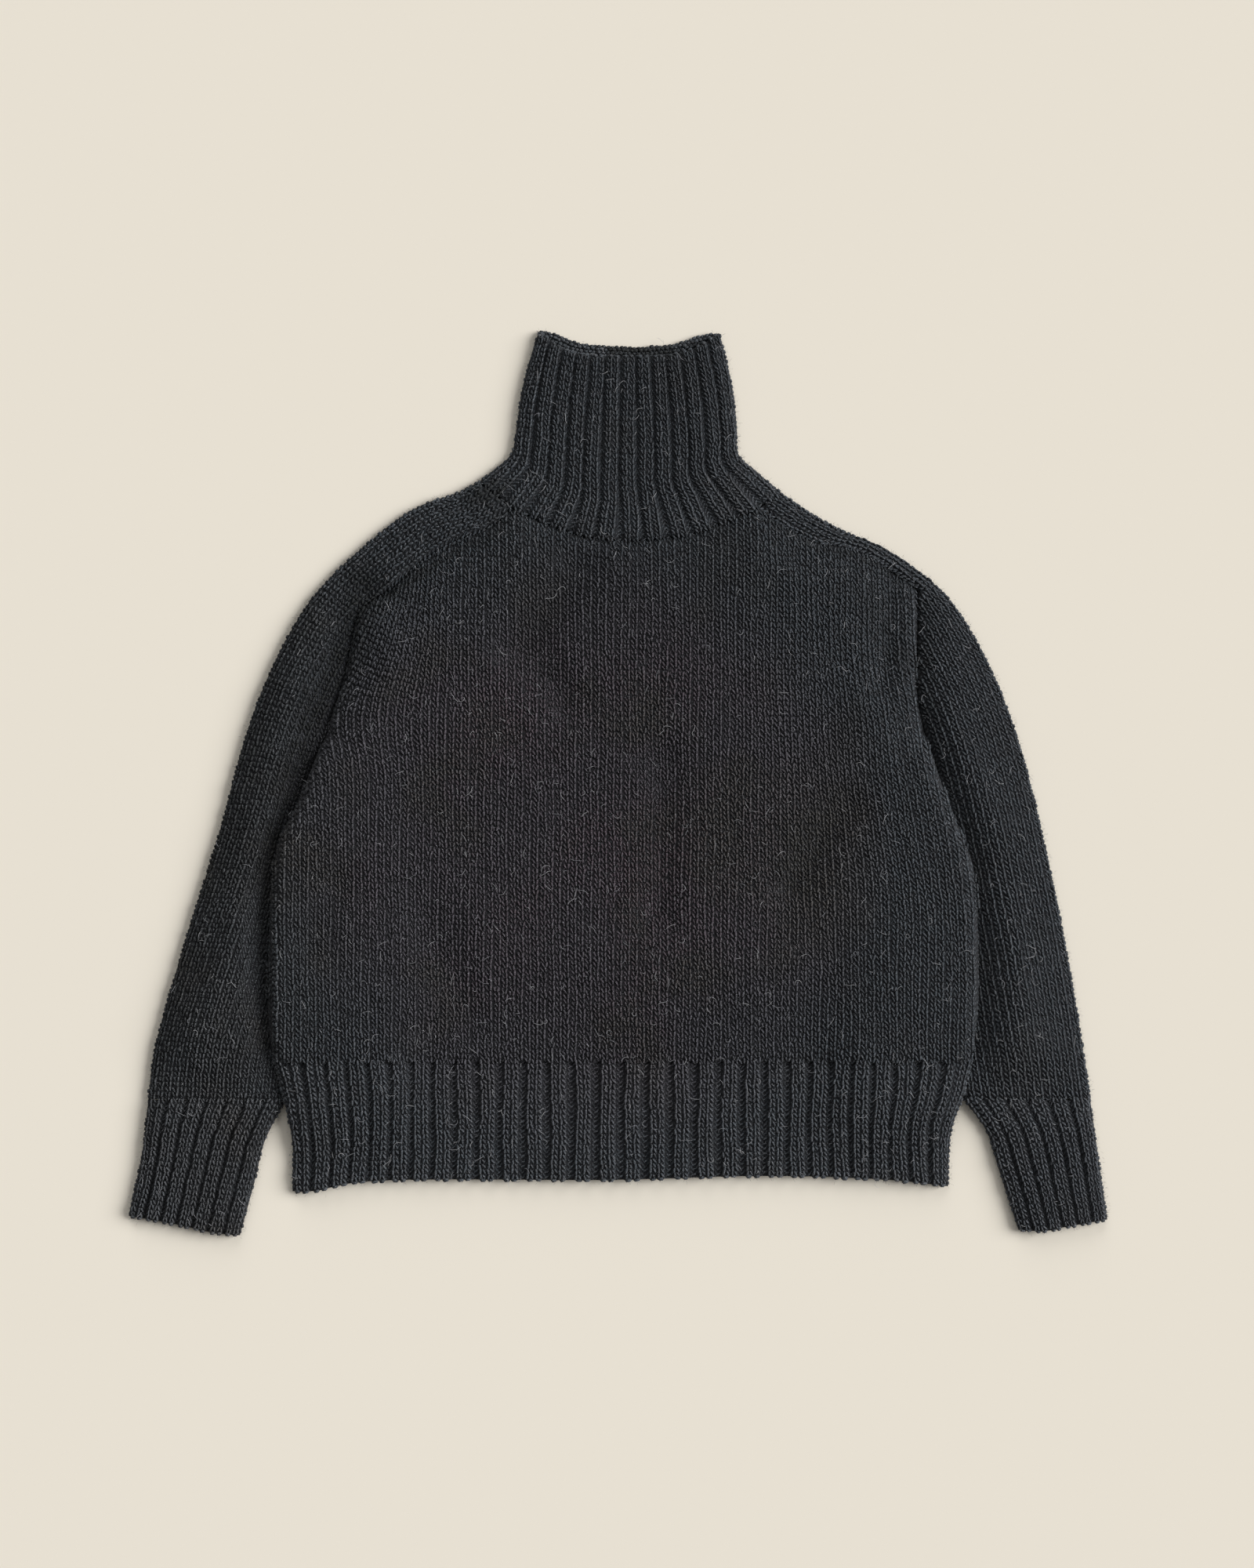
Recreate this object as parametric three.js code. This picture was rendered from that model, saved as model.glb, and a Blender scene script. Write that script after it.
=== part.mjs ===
import * as THREE from "three";

// A chunky hand-knit turtleneck sweater laid flat on a table, seen from above.
// Millimetres, +Z up. +Y points from the hem to the collar, +X to the right of the laid garment.
// Every piece is a wall of knit. Laid flat, a tube is two layers with a thin slit between them.

// Driving sizes
const wall = 3.0;             // thickness of the knit
const slit = 0.5;             // air between two layers that lie on each other
const seamGap = 0.5;          // clearance between sewn pieces
const puff = 2.2;             // how far the upper layer stands off the lower one
const ribRise = 1.0;          // knit wales of the ribbing above the plain wall
const ribSink = 0.6;          // purl furrows of the ribbing below it
const rollWidth = 6;          // width over which a folded edge rounds down
const foldInset = 3.2;        // how far the slit stops short of a folded edge
const seamThinning = 0.45;    // share of the wall left at a sewn edge
const bodyMiddle = 3.5;       // x of the body's centre line

// The lower sides of the body lie on the sleeves, so they are lifted by a flattened sleeve
const sleeveHeight = 2 * wall + slit;
const bodyLift = sleeveHeight + slit;
const liftRamp = { flatTo: 150, fullFrom: 198 };                  // distance from the centre line
const liftRange = { foot: -312, footFull: -262, topFull: 3, top: 42 };  // y levels

// Levels and shares of the body's grid
const hemLine = -225;
const sideLevels = [-224.75, -219, -195, -165, -135, -105, -75, -45, -20, 3, 22, 42];
const armholeShares = [0.17, 0.34, 0.51, 0.68, 0.84, 0.97, 1];
const armholeStart = 3;       // y where the sleeve stops running under the body
const neckShares = { left: 0.32, right: 0.7 };
const neckCells = 14;         // one cell of the front's neck edge for each rib of the collar
const edgeInsets = [0, 1.5, 5, 14];

// Outlines. Each row is one point, with columns x, y.
const bodySideLeft = [
  [-280.6, -225], [-285, -190], [-284.5, -127], [-281.3, -69.4], [-273.6, -38.7],
  [-260.2, -11.8], [-246.1, 23.4], [-239.6, 42],
];
const bodySideRight = [
  [287, -225], [292, -182], [292.2, -127], [289, -72], [276.8, -35.5], [262.7, 1], [250, 42],
];
const armholeLeft = [[-239.6, 42], [-225, 86.1], [-217.9, 118.1], [-211.5, 142.4], [-188.5, 158.4]];
const armholeRight = [[250, 42], [244.5, 70], [243.5, 100], [244.2, 129], [244.2, 160.3]];
const frontSaddleLeft = [
  [-188.5, 158.4], [-152, 187.8], [-122.6, 202.6], [-103.4, 211.5], [-87.4, 225],
];
const frontSaddleRight = [
  [114.9, 226.2], [136.6, 210.2], [161.6, 198.1], [193, 192.3], [244.2, 160.3],
];
const frontNeck = [
  [-87.4, 225], [-49.6, 209], [-26.6, 201.9], [6.7, 198.7], [54.1, 203.2], [87.4, 214.1], [114.9, 226.2],
];
const backSaddleLeft = [[-188.5, 158.4], [-152, 185], [-124, 201], [-96, 219]];
const backSaddleRight = [[112, 210], [140, 190], [190, 172], [244.2, 160.3]];
const backNeck = [[-96, 219], [-50, 226], [8, 228], [62, 224], [112, 210]];

const sleeveOuterLeft = [
  [-383.7, -255.5], [-378.6, -216.6], [-357.4, -139.8], [-325.4, -37.4], [-304.3, 39.4],
  [-285.1, 90.6], [-257.6, 141.8], [-237.1, 167.4], [-209.6, 193], [-177.6, 218.6],
  [-153.3, 231.4], [-134.1, 237.1], [-114.9, 246.7],
];
const sleeveOuterRight = [
  [384.4, -255.5], [378.6, -216.6], [365.8, -139.8], [344.6, -37.4], [324.8, 39.4],
  [305, 90.6], [276.8, 141.8], [253.1, 167.4], [215.4, 193], [185.9, 205.8],
  [161, 218.6], [134.7, 236.5],
];
const sleeveHiddenLeft = [
  [-272.3, -257], [-250, -195], [-230, -115], [-222, -55], [-232, -22], [-254.4, 3],
];
const sleeveHiddenRight = [
  [281, -255], [259, -195], [243, -115], [238, -55], [246, -22], [261.9, 3],
];

const collarSideLeft = [
  [-114.9, 246.7], [-102, 257], [-88, 269.8], [-83.5, 290], [-79, 321], [-70.7, 353], [-65.2, 370],
];
const collarSideRight = [
  [134.7, 236.5], [112, 256], [97.6, 269.8], [96.3, 290], [93.1, 321], [86.1, 353], [82, 368.5],
];
const frontRim = [
  [-65.2, 370], [-50, 358], [-30, 351], [6.7, 349], [42, 350], [66, 358], [82, 368.5],
];
const backRim = [
  [-65.2, 370], [-50, 367], [-32, 360], [20, 357], [48, 360], [66, 366], [82, 368.5],
];

const hemSideLeft = [[-280.6, -225], [-272, -257], [-266, -290], [-266, -331]];
const hemSideRight = [[287, -225], [280.6, -252], [271, -280], [268.5, -327]];
const hemFoot = [
  [-266, -331], [-249, -330.6], [-211, -323.2], [0, -321.3], [122, -318.2], [224, -321.6], [268.5, -327],
];

const cuffOutlineLeft = {
  start: [[-383.7, -257], [-272.3, -257.6]],
  outside: [[-383.7, -257], [-388.8, -301], [-399.7, -351]],
  inside: [[-272.3, -257.6], [-289, -290.9], [-296.6, -321.6], [-309, -367]],
  end: [[-399.7, -351], [-362, -357.4], [-331, -364.5], [-309, -367]],
};
const cuffOutlineRight = {
  start: [[281, -255.8], [384.5, -256.6]],
  outside: [[384.5, -256.6], [390.7, -301], [398.4, -354]],
  inside: [[281, -255.8], [299.2, -280.6], [309.4, -311.4], [326, -362.5]],
  end: [[326, -362.5], [347, -363.2], [363, -360], [398.4, -354]],
};

// Soft troughs pressed into the upper layer: from, to, half width, share of the puff taken away
const troughs = [
  { from: [-33, 176], to: [-75, 113], spread: 20, share: 0.9 },
  { from: [-75, 113], to: [-44, 71], spread: 18, share: 0.7 },
  { from: [224, 174], to: [214, 78], spread: 12, share: 0.8 },
  { from: [190, -20], to: [140, -80], spread: 16, share: 0.9 },
  { from: [-226, -80], to: [-246, -130], spread: 16, share: 0.8 },
  { from: [38, 20], to: [34, -110], spread: 18, share: 0.6 },
  { from: [-160, -110], to: [-120, -190], spread: 20, share: 0.5 },
  { from: [-262, 60], to: [-290, -10], spread: 12, share: 0.8 },
  { from: [-300, -60], to: [-345, -150], spread: 12, share: 0.6 },
  { from: [262, 110], to: [300, 20], spread: 12, share: 0.7 },
  { from: [318, -70], to: [345, -170], spread: 12, share: 0.6 },
];

// Wool: charcoal, matt
const woolColour = 0x2b2c2f;
function wool(name) {
  return new THREE.MeshStandardMaterial({ name, color: woolColour, roughness: 0.95, metalness: 0 });
}

// Small helpers
const smoothstep = THREE.MathUtils.smoothstep;
const mix = THREE.MathUtils.lerp;
const mixPoints = (a, b, share) => [mix(a[0], b[0], share), mix(a[1], b[1], share)];
const distance = (a, b) => Math.hypot(b[0] - a[0], b[1] - a[1]);

// A smooth line through the points of an outline: share of its length to [x, y]
function lineThrough(points) {
  const corners = points.map(([x, y]) => new THREE.Vector3(x, y, 0));
  const curve = new THREE.CatmullRomCurve3(corners, false, "centripetal");
  return (share) => {
    const at = curve.getPointAt(THREE.MathUtils.clamp(share, 0, 1));
    return [at.x, at.y];
  };
}

// Three lines end to end, joined at the two given shares
function joinedLines(first, second, third, firstEnd, secondEnd) {
  return (share) => {
    if (share <= firstEnd) return first(share / firstEnd);
    if (share <= secondEnd) return second((share - firstEnd) / (secondEnd - firstEnd));
    return third((share - secondEnd) / (1 - secondEnd));
  };
}

// A patch stretched between four edges that meet at their ends
function patch(bottom, top, left, right, fade = 1) {
  // The bends of the sides fade towards the middle, faster with a higher power
  return (across, up) => [0, 1].map((axis) => {
    const rising = mix(bottom(across)[axis], top(across)[axis], up);
    const bendLeft = left(up)[axis] - mix(bottom(0)[axis], top(0)[axis], up);
    const bendRight = right(up)[axis] - mix(bottom(1)[axis], top(1)[axis], up);
    return rising + bendLeft * (1 - across) ** fade + bendRight * across ** fade;
  });
}

// Where a line that climbs steadily reaches a level
function pointAtLevel(line, level) {
  let low = 0;
  let high = 1;
  const climbs = line(1)[1] > line(0)[1];
  for (let step = 0; step < 30; step += 1) {
    const middle = (low + high) / 2;
    if ((line(middle)[1] < level) === climbs) low = middle;
    else high = middle;
  }
  return line(low);
}

// Share of the full height at a distance from a rounded edge
function rounded(inset) {
  const reach = Math.min(Math.max(inset, 0), rollWidth) / rollWidth;
  return Math.sqrt(1 - (1 - reach) ** 2);
}
const sewnEdge = (inset) => mix(seamThinning, 1, rounded(inset));

// How far the body is lifted where it lies on the sleeves
function lift(x, y) {
  const side = smoothstep(Math.abs(x - bodyMiddle), liftRamp.flatTo, liftRamp.fullFrom);
  const foot = smoothstep(y, liftRange.foot, liftRange.footFull);
  const top = 1 - smoothstep(y, liftRange.topFull, liftRange.top);
  return bodyLift * side * foot * top;
}

// How far the upper layer stands off the lower one, less where a trough is pressed in
function loft(x, y) {
  let left = 1;
  for (const { from, to, spread, share } of troughs) {
    const along = [to[0] - from[0], to[1] - from[1]];
    const reach = ((x - from[0]) * along[0] + (y - from[1]) * along[1]) / (along[0] ** 2 + along[1] ** 2);
    const nearest = mixPoints(from, to, THREE.MathUtils.clamp(reach, 0, 1));
    left *= 1 - share * Math.exp(-((distance(nearest, [x, y]) / spread) ** 2));
  }
  return puff * left;
}

// A closed wall between two grids of points, as an open sheet or as a ring
function wallMesh(name, rowCount, columnCount, isRing, outerPoint, innerPoint) {
  const positions = [];
  for (const place of [outerPoint, innerPoint]) {
    for (let row = 0; row < rowCount; row += 1) {
      for (let column = 0; column < columnCount; column += 1) positions.push(...place(row, column));
    }
  }
  const index = [];
  const id = (side, row, column) => (side * rowCount + row) * columnCount + (column % columnCount);
  const quad = (a, b, c, d) => index.push(a, b, c, a, c, d);
  const cells = isRing ? columnCount : columnCount - 1;
  const lastRow = rowCount - 1;
  const lastColumn = columnCount - 1;
  for (let column = 0; column < cells; column += 1) {
    const next = column + 1;
    for (let row = 0; row < lastRow; row += 1) {
      quad(id(0, row, column), id(0, row, next), id(0, row + 1, next), id(0, row + 1, column));
      quad(id(1, row, column), id(1, row + 1, column), id(1, row + 1, next), id(1, row, next));
    }
    quad(id(0, 0, column), id(1, 0, column), id(1, 0, next), id(0, 0, next));
    quad(id(0, lastRow, column), id(0, lastRow, next), id(1, lastRow, next), id(1, lastRow, column));
  }
  for (let row = 0; row < lastRow && !isRing; row += 1) {
    quad(id(0, row, 0), id(0, row + 1, 0), id(1, row + 1, 0), id(1, row, 0));
    const next = row + 1;
    quad(id(0, row, lastColumn), id(1, row, lastColumn), id(1, next, lastColumn), id(0, next, lastColumn));
  }
  const geometry = new THREE.BufferGeometry();
  geometry.setAttribute("position", new THREE.Float32BufferAttribute(positions, 3));
  geometry.setIndex(facingOut(positions, index));
  geometry.computeVertexNormals();
  const mesh = new THREE.Mesh(geometry, wool(name));
  mesh.name = name;
  return mesh;
}

// Turns every face round when the closed surface encloses a negative volume
function facingOut(positions, index) {
  const corner = (k) => new THREE.Vector3().fromArray(positions, index[k] * 3);
  let volume = 0;
  for (let k = 0; k < index.length; k += 3) volume += corner(k).dot(corner(k + 1).cross(corner(k + 2)));
  if (volume > 0) return index;
  return index.map((value, k) => (k % 3 === 0 ? value : index[k % 3 === 1 ? k + 1 : k - 1]));
}

// The body: front and back share one grid below the armholes
const sideLeft = lineThrough(bodySideLeft);
const sideRight = lineThrough(bodySideRight);
const holeLeft = lineThrough(armholeLeft);
const holeRight = lineThrough(armholeRight);
const frontTop = joinedLines(lineThrough(frontSaddleLeft), lineThrough(frontNeck),
  lineThrough(frontSaddleRight), neckShares.left, neckShares.right);
const backTop = joinedLines(lineThrough(backSaddleLeft), lineThrough(backNeck),
  lineThrough(backSaddleRight), neckShares.left, neckShares.right);

// Shares across the body, closer together by the sides, and one for each rib of the neck
const bodyWidth = bodySideRight[0][0] - bodySideLeft[0][0];
const saddleCells = 4;
const leftShares = edgeInsets.map((inset) => inset / bodyWidth);
const lastInset = leftShares[leftShares.length - 1];
for (let k = 1; k <= saddleCells; k += 1) leftShares.push(mix(lastInset, neckShares.left, k / saddleCells));
const mirrored = (1 - neckShares.right) / neckShares.left;
const rightShares = leftShares.map((share) => 1 - share * mirrored).reverse();
const middleShares = Array.from({ length: neckCells - 1 },
  (_, k) => mix(neckShares.left, neckShares.right, (k + 1) / neckCells));
const bodyShares = [...leftShares, ...middleShares, ...rightShares];

function bodyPanel(name, top, isFront) {
  const underarm = [pointAtLevel(sideLeft, liftRange.top), pointAtLevel(sideRight, liftRange.top)];
  const upper = patch((share) => mixPoints(underarm[0], underarm[1], share), top, holeLeft, holeRight);
  const rowCount = sideLevels.length + armholeShares.length;
  const plan = (row, column) => {
    const share = bodyShares[column];
    if (row >= sideLevels.length) return upper(share, armholeShares[row - sideLevels.length]);
    const level = sideLevels[row];
    return mixPoints(pointAtLevel(sideLeft, level), pointAtLevel(sideRight, level), share);
  };
  const lastColumn = bodyShares.length - 1;
  const thickness = (row, column) => {
    const at = plan(row, column);
    const ends = [plan(row, 0), plan(row, lastColumn), plan(0, column), plan(rowCount - 1, column)];
    return wall * sewnEdge(Math.min(...ends.map((end) => distance(end, at))));
  };
  const level = ([x, y]) => lift(x, y) + (isFront ? wall + slit + loft(x, y) : wall);
  const sign = isFront ? 1 : -1;
  return wallMesh(name, rowCount, bodyShares.length, false,
    (row, column) => {
      const at = plan(row, column);
      return [...at, level(at) + sign * thickness(row, column)];
    },
    (row, column) => {
      const at = plan(row, column);
      return [...at, level(at)];
    });
}

// A sleeve with its saddle strap: one sheet folded along its outer edge, cuff to collar.
// Each row has the edge of its upper layer, the fold, and the edge of its lower layer.
const sleeveCells = { hidden: 9, across: 4 };
const foldSharesLeft = { armhole: 0.46, shoulder: 0.8 };   // of the outer edge's length
const foldSharesRight = { armhole: 0.46, shoulder: 0.74 };
const puffRamp = { from: 6, to: 30 };                     // distance from an edge where a layer puffs up

function sleeveRows({ outer, hidden, side, hole, saddleShares, foldShares }) {
  const rows = [];
  for (let k = 0; k < sleeveCells.hidden; k += 1) {
    const share = k / sleeveCells.hidden;
    rows.push({ over: hidden(share), fold: outer(foldShares.armhole * share), under: hidden(share) });
  }
  const seam = [];
  for (const level of sideLevels.filter((y) => y >= armholeStart)) seam.push(pointAtLevel(side, level));
  for (const share of armholeShares) seam.push(hole(share));
  seam.forEach((point, k) => {
    const fold = outer(mix(foldShares.armhole, foldShares.shoulder, k / (seam.length - 1)));
    rows.push({ over: point, fold, under: point });
  });
  saddleShares.slice(1).forEach((share, k) => {
    const fold = outer(mix(foldShares.shoulder, 1, (k + 1) / (saddleShares.length - 1)));
    rows.push({ over: frontTop(share), fold, under: backTop(share) });
  });
  const shifted = {};
  for (const key of ["over", "under"]) {
    shifted[key] = movedOff(rows.map((row) => row[key]), rows.map((row) => row.fold));
  }
  return rows.map(({ fold }, k) => ({ over: shifted.over[k], fold, under: shifted.under[k] }));
}

// Moves a seam's points by the seam gap, square to the seam and towards the given side
function movedOff(points, towards) {
  return points.map((point, k) => {
    const before = points[Math.max(k - 1, 0)];
    const after = points[Math.min(k + 1, points.length - 1)];
    const length = distance(before, after);
    const normal = [(before[1] - after[1]) / length, (after[0] - before[0]) / length];
    const side = normal[0] * (towards[k][0] - point[0]) + normal[1] * (towards[k][1] - point[1]);
    const step = seamGap * Math.sign(side);
    return [point[0] + step * normal[0], point[1] + step * normal[1]];
  });
}

function sleeve(name, lines) {
  const rows = sleeveRows(lines);
  const { side } = lines;
  const insetsFor = (width) => {
    const seamEdge = edgeInsets[2];
    const foldEdge = width - edgeInsets[2];
    const inside = Array.from({ length: sleeveCells.across - 1 },
      (_, k) => mix(seamEdge, foldEdge, (k + 1) / sleeveCells.across));
    return [0, seamEdge, ...inside, foldEdge, width - edgeInsets[1], width];
  };
  const half = insetsFor(100).length;
  const middle = sleeveHeight / 2;
  const place = (row, column) => {
    const { over, fold, under } = rows[row];
    const isUpper = column < half;
    const edge = isUpper ? over : under;
    const width = distance(edge, fold);
    const inset = insetsFor(width)[isUpper ? column : 2 * half - 2 - column];
    const at = mixPoints(edge, fold, inset / width);
    return { edge, fold, width, inset, isUpper, fromFold: width - inset, at };
  };
  const puffAt = (row, { at, inset, fromFold, edge }) => {
    const bodyEdge = row < sleeveCells.hidden ? pointAtLevel(side, Math.max(at[1], hemLine + 1)) : edge;
    const beside = row < sleeveCells.hidden ? Math.abs(at[0]) - Math.abs(bodyEdge[0]) : inset;
    const seamRamp = smoothstep(beside, puffRamp.from, puffRamp.to);
    return loft(...at) * seamRamp * smoothstep(fromFold, 0, puffRamp.to);
  };
  const ends = (row, column) => Math.min(distance(place(row, column).at, place(0, column).at),
    distance(place(row, column).at, place(rows.length - 1, column).at));
  return wallMesh(name, rows.length, 2 * half - 1, false,
    (row, column) => {
      const spot = place(row, column);
      const edgeShare = sewnEdge(Math.min(spot.inset, ends(row, column)));
      const under = middle - (middle - wall * (1 - edgeShare)) * rounded(spot.fromFold);
      if (!spot.isUpper) return [...spot.at, under];
      const top = middle + slit / 2 + puffAt(row, spot) + wall * edgeShare;
      return [...spot.at, mix(middle, top, rounded(spot.fromFold))];
    },
    (row, column) => {
      const spot = place(row, column);
      const fromFold = Math.min(Math.max(spot.fromFold, foldInset + spot.fromFold / 4), spot.width);
      const at = mixPoints(spot.edge, spot.fold, 1 - fromFold / spot.width);
      if (spot.fromFold === 0) return [...at, middle];
      return [...at, spot.isUpper ? middle + slit / 2 + puffAt(row, spot) : middle - slit / 2];
    });
}

// A ribbed tube laid flat. Its upper layer has three columns for each rib: the purl furrow
// and the two shoulders of the knit wales. The lower layer rests plain.
const ribColumns = [{ at: 0, height: 0 }, { at: 0.25, height: 1 }, { at: 0.75, height: 1 }];

function ribbedTube(name, form) {
  const { upperPlan, lowerPlan, ribCount, gather, lowerCells, rowShares, liftAt, puffHeight } = form;
  const columns = [];
  // Ribs look narrower towards the sides, where the tube turns under
  const gathered = (share) => share - gather * Math.sin(2 * Math.PI * share) / (2 * Math.PI);
  for (let rib = 0; rib < ribCount; rib += 1) {
    for (const { at, height } of ribColumns) {
      columns.push({ across: gathered((rib + at) / ribCount), height, isUpper: true });
    }
  }
  columns.push({ across: 1, height: 0, isUpper: true });
  for (let k = 1; k < lowerCells; k += 1) {
    columns.push({ across: 1 - k / lowerCells, height: 0, isUpper: false });
  }
  const spotAt = (row, column) => {
    const { across, height, isUpper } = columns[column];
    const plan = isUpper ? upperPlan : lowerPlan;
    const up = rowShares[row];
    const width = distance(plan(0, up), plan(1, up));
    const inset = Math.min(across, 1 - across) * width;
    return { across, height, isUpper, plan, up, width, inset };
  };
  const isEnd = (row) => row === 0 || row === rowShares.length - 1;
  const middle = sleeveHeight / 2;
  return wallMesh(name, rowShares.length, columns.length, true,
    (row, column) => {
      const { across, height, isUpper, plan, up, inset } = spotAt(row, column);
      const at = plan(across, up);
      const base = liftAt(...at);
      if (!isUpper) return [...at, base + middle - middle * rounded(inset)];
      const relief = mix(-ribSink, ribRise, height) - (isEnd(row) ? ribRise : 0);
      const top = middle + slit / 2 + wall + relief + puffHeight * smoothstep(inset, 0, puffRamp.to);
      return [...at, base + mix(middle, top, rounded(inset))];
    },
    (row, column) => {
      const { across, isUpper, plan, up, width, inset } = spotAt(row, column);
      const inner = Math.min(Math.max(inset, foldInset + inset / 4), width / 2) / width;
      const at = plan(across < 0.5 ? inner : 1 - inner, up);
      const base = liftAt(...at);
      if (inset === 0) return [...at, base + middle];
      const stand = isUpper ? slit / 2 + puffHeight * smoothstep(inset, 0, puffRamp.to) : -slit / 2;
      return [...at, base + middle + stand];
    });
}

// The collar goes on round the neck edges of the front, the straps and the back
const collarSizes = {
  strapEnds: { left: 0.11, right: 0.92 },   // shares of the base where the straps' ends stop
  clearance: 0.008,                         // share of the height kept off the neck edges
  puff: 1.4,
  lowerCells: 20,
  rowShares: [0, 0.03, 0.18, 0.33, 0.5, 0.67, 0.84, 0.97, 1],
};

// The collar's base on one layer: strap end, neck edge, strap end
function collarBase(neck) {
  const { left, right } = collarSizes.strapEnds;
  const foldLeft = collarSideLeft[0];
  const foldRight = collarSideRight[0];
  const strapLeft = (share) => mixPoints(foldLeft, neck[0], share);
  const strapRight = (share) => mixPoints(neck[neck.length - 1], foldRight, share);
  return joinedLines(strapLeft, lineThrough(neck), strapRight, left, right);
}

function collar() {
  const sides = [lineThrough(collarSideLeft), lineThrough(collarSideRight)];
  const layer = (neck, rim) => {
    const whole = patch(collarBase(neck), lineThrough(rim), ...sides);
    return (across, up) => whole(across, mix(collarSizes.clearance, 1, up));
  };
  return ribbedTube("collar", {
    upperPlan: layer(frontNeck, frontRim),
    lowerPlan: layer(backNeck, backRim),
    ribCount: neckCells,
    lowerCells: collarSizes.lowerCells,
    rowShares: collarSizes.rowShares,
    liftAt: () => 0,
    puffHeight: collarSizes.puff,
    gather: 0,
  });
}

// The hem ribbing hangs from both panels and drops off the sleeves towards its foot
const hemSizes = {
  ribs: 30,
  gather: 0.13,
  splay: 0.045,
  fade: 8,
  lowerCells: 42,
  puff: 1.6,
  rowShares: [0.0025, 0.04, 0.35, 0.6, 0.86, 0.98, 1],
};

function hemRib() {
  // The ribs hang straight down, and those at the sides splay out to the panels' edges
  const topLeft = hemSideLeft[0][0];
  const topRight = hemSideRight[0][0];
  const footLeft = hemFoot[0][0];
  const footRight = hemFoot[hemFoot.length - 1][0];
  const top = (share) => {
    const straight = mix(footLeft, footRight, share);
    const splayLeft = (topLeft - footLeft) * Math.exp(-share / hemSizes.splay);
    const splayRight = (topRight - footRight) * Math.exp((share - 1) / hemSizes.splay);
    return [straight + splayLeft + splayRight, hemLine];
  };
  const left = lineThrough(hemSideLeft);
  const right = lineThrough(hemSideRight);
  const plan = patch(top, lineThrough(hemFoot), left, right, hemSizes.fade);
  return ribbedTube("hem_rib", {
    upperPlan: plan,
    lowerPlan: plan,
    ribCount: hemSizes.ribs,
    lowerCells: hemSizes.lowerCells,
    rowShares: hemSizes.rowShares,
    liftAt: lift,
    puffHeight: hemSizes.puff,
    gather: hemSizes.gather,
  });
}

const cuffSizes = {
  ribs: { left: 7, right: 6 },   // ribs that show, as the cuffs lie
  lowerCells: 8,
  puff: 1.2,
  rowShares: [0, 0.04, 0.35, 0.66, 0.97, 1],
};

function cuff(name, outline, isLeft) {
  const sides = isLeft ? [outline.outside, outline.inside] : [outline.inside, outline.outside];
  const plan = patch(lineThrough(outline.start), lineThrough(outline.end),
    lineThrough(sides[0]), lineThrough(sides[1]));
  return ribbedTube(name, {
    upperPlan: plan,
    lowerPlan: plan,
    ribCount: isLeft ? cuffSizes.ribs.left : cuffSizes.ribs.right,
    lowerCells: cuffSizes.lowerCells,
    rowShares: cuffSizes.rowShares,
    liftAt: () => 0,
    puffHeight: cuffSizes.puff,
    gather: 0,
  });
}

const sweater = new THREE.Group();
sweater.name = "turtleneck_sweater";
sweater.add(bodyPanel("front", frontTop, true));
sweater.add(bodyPanel("back", backTop, false));
sweater.add(sleeve("sleeve_left", {
  outer: lineThrough(sleeveOuterLeft),
  hidden: lineThrough(sleeveHiddenLeft),
  side: sideLeft,
  hole: holeLeft,
  saddleShares: leftShares,
  foldShares: foldSharesLeft,
}));
sweater.add(sleeve("sleeve_right", {
  outer: lineThrough(sleeveOuterRight),
  hidden: lineThrough(sleeveHiddenRight),
  side: sideRight,
  hole: holeRight,
  saddleShares: [...rightShares].reverse(),
  foldShares: foldSharesRight,
}));
sweater.add(collar());
sweater.add(hemRib());
sweater.add(cuff("cuff_left", cuffOutlineLeft, true));
sweater.add(cuff("cuff_right", cuffOutlineRight, false));

export default sweater;
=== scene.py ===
import math

import bpy
import mathutils
import numpy as np
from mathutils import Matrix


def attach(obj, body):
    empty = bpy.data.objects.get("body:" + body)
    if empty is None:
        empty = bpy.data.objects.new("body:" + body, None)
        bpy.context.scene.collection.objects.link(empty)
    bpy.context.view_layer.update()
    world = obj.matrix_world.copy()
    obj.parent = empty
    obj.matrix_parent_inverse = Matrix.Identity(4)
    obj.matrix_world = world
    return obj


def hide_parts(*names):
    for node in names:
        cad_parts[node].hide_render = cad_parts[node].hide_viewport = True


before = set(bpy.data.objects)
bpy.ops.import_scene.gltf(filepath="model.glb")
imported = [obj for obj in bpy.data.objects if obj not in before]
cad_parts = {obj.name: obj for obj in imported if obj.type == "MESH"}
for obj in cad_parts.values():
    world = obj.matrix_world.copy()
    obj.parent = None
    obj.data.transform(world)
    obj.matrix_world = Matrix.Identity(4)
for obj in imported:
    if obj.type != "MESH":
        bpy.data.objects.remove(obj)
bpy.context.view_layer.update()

mm = 0.001


def span(vectors):  # the length of each in the plane of the table
    return np.hypot(vectors[..., 0], vectors[..., 1])


def unit(vectors):
    return vectors / np.linalg.norm(vectors, axis=-1, keepdims=True)


def raised(plan, height):  # points of the table's plane, brought to their heights
    return np.concatenate([plan, height[..., None]], -1)


def addObject(name, data):
    item = bpy.data.objects.new(name, data)
    bpy.context.collection.objects.link(item)
    return item


def addNode(tree, kind, settings, inputs):  # the one way to add a node, with its values and links
    node = tree.nodes.new(kind)
    for key, value in settings.items():
        setattr(node, key, value)
    for key, value in inputs.items():
        if isinstance(value, bpy.types.NodeSocket):
            tree.links.new(value, node.inputs[key])
        else:
            node.inputs[key].default_value = value
    return node


# The picture, straight down on the laid sweater: millimetres on the table, and its reach in metres
picture = {"height": 1280, "middle": (6.7, 1.0), "distance": 2600, "sensor": 36, "reach": 20}


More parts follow.
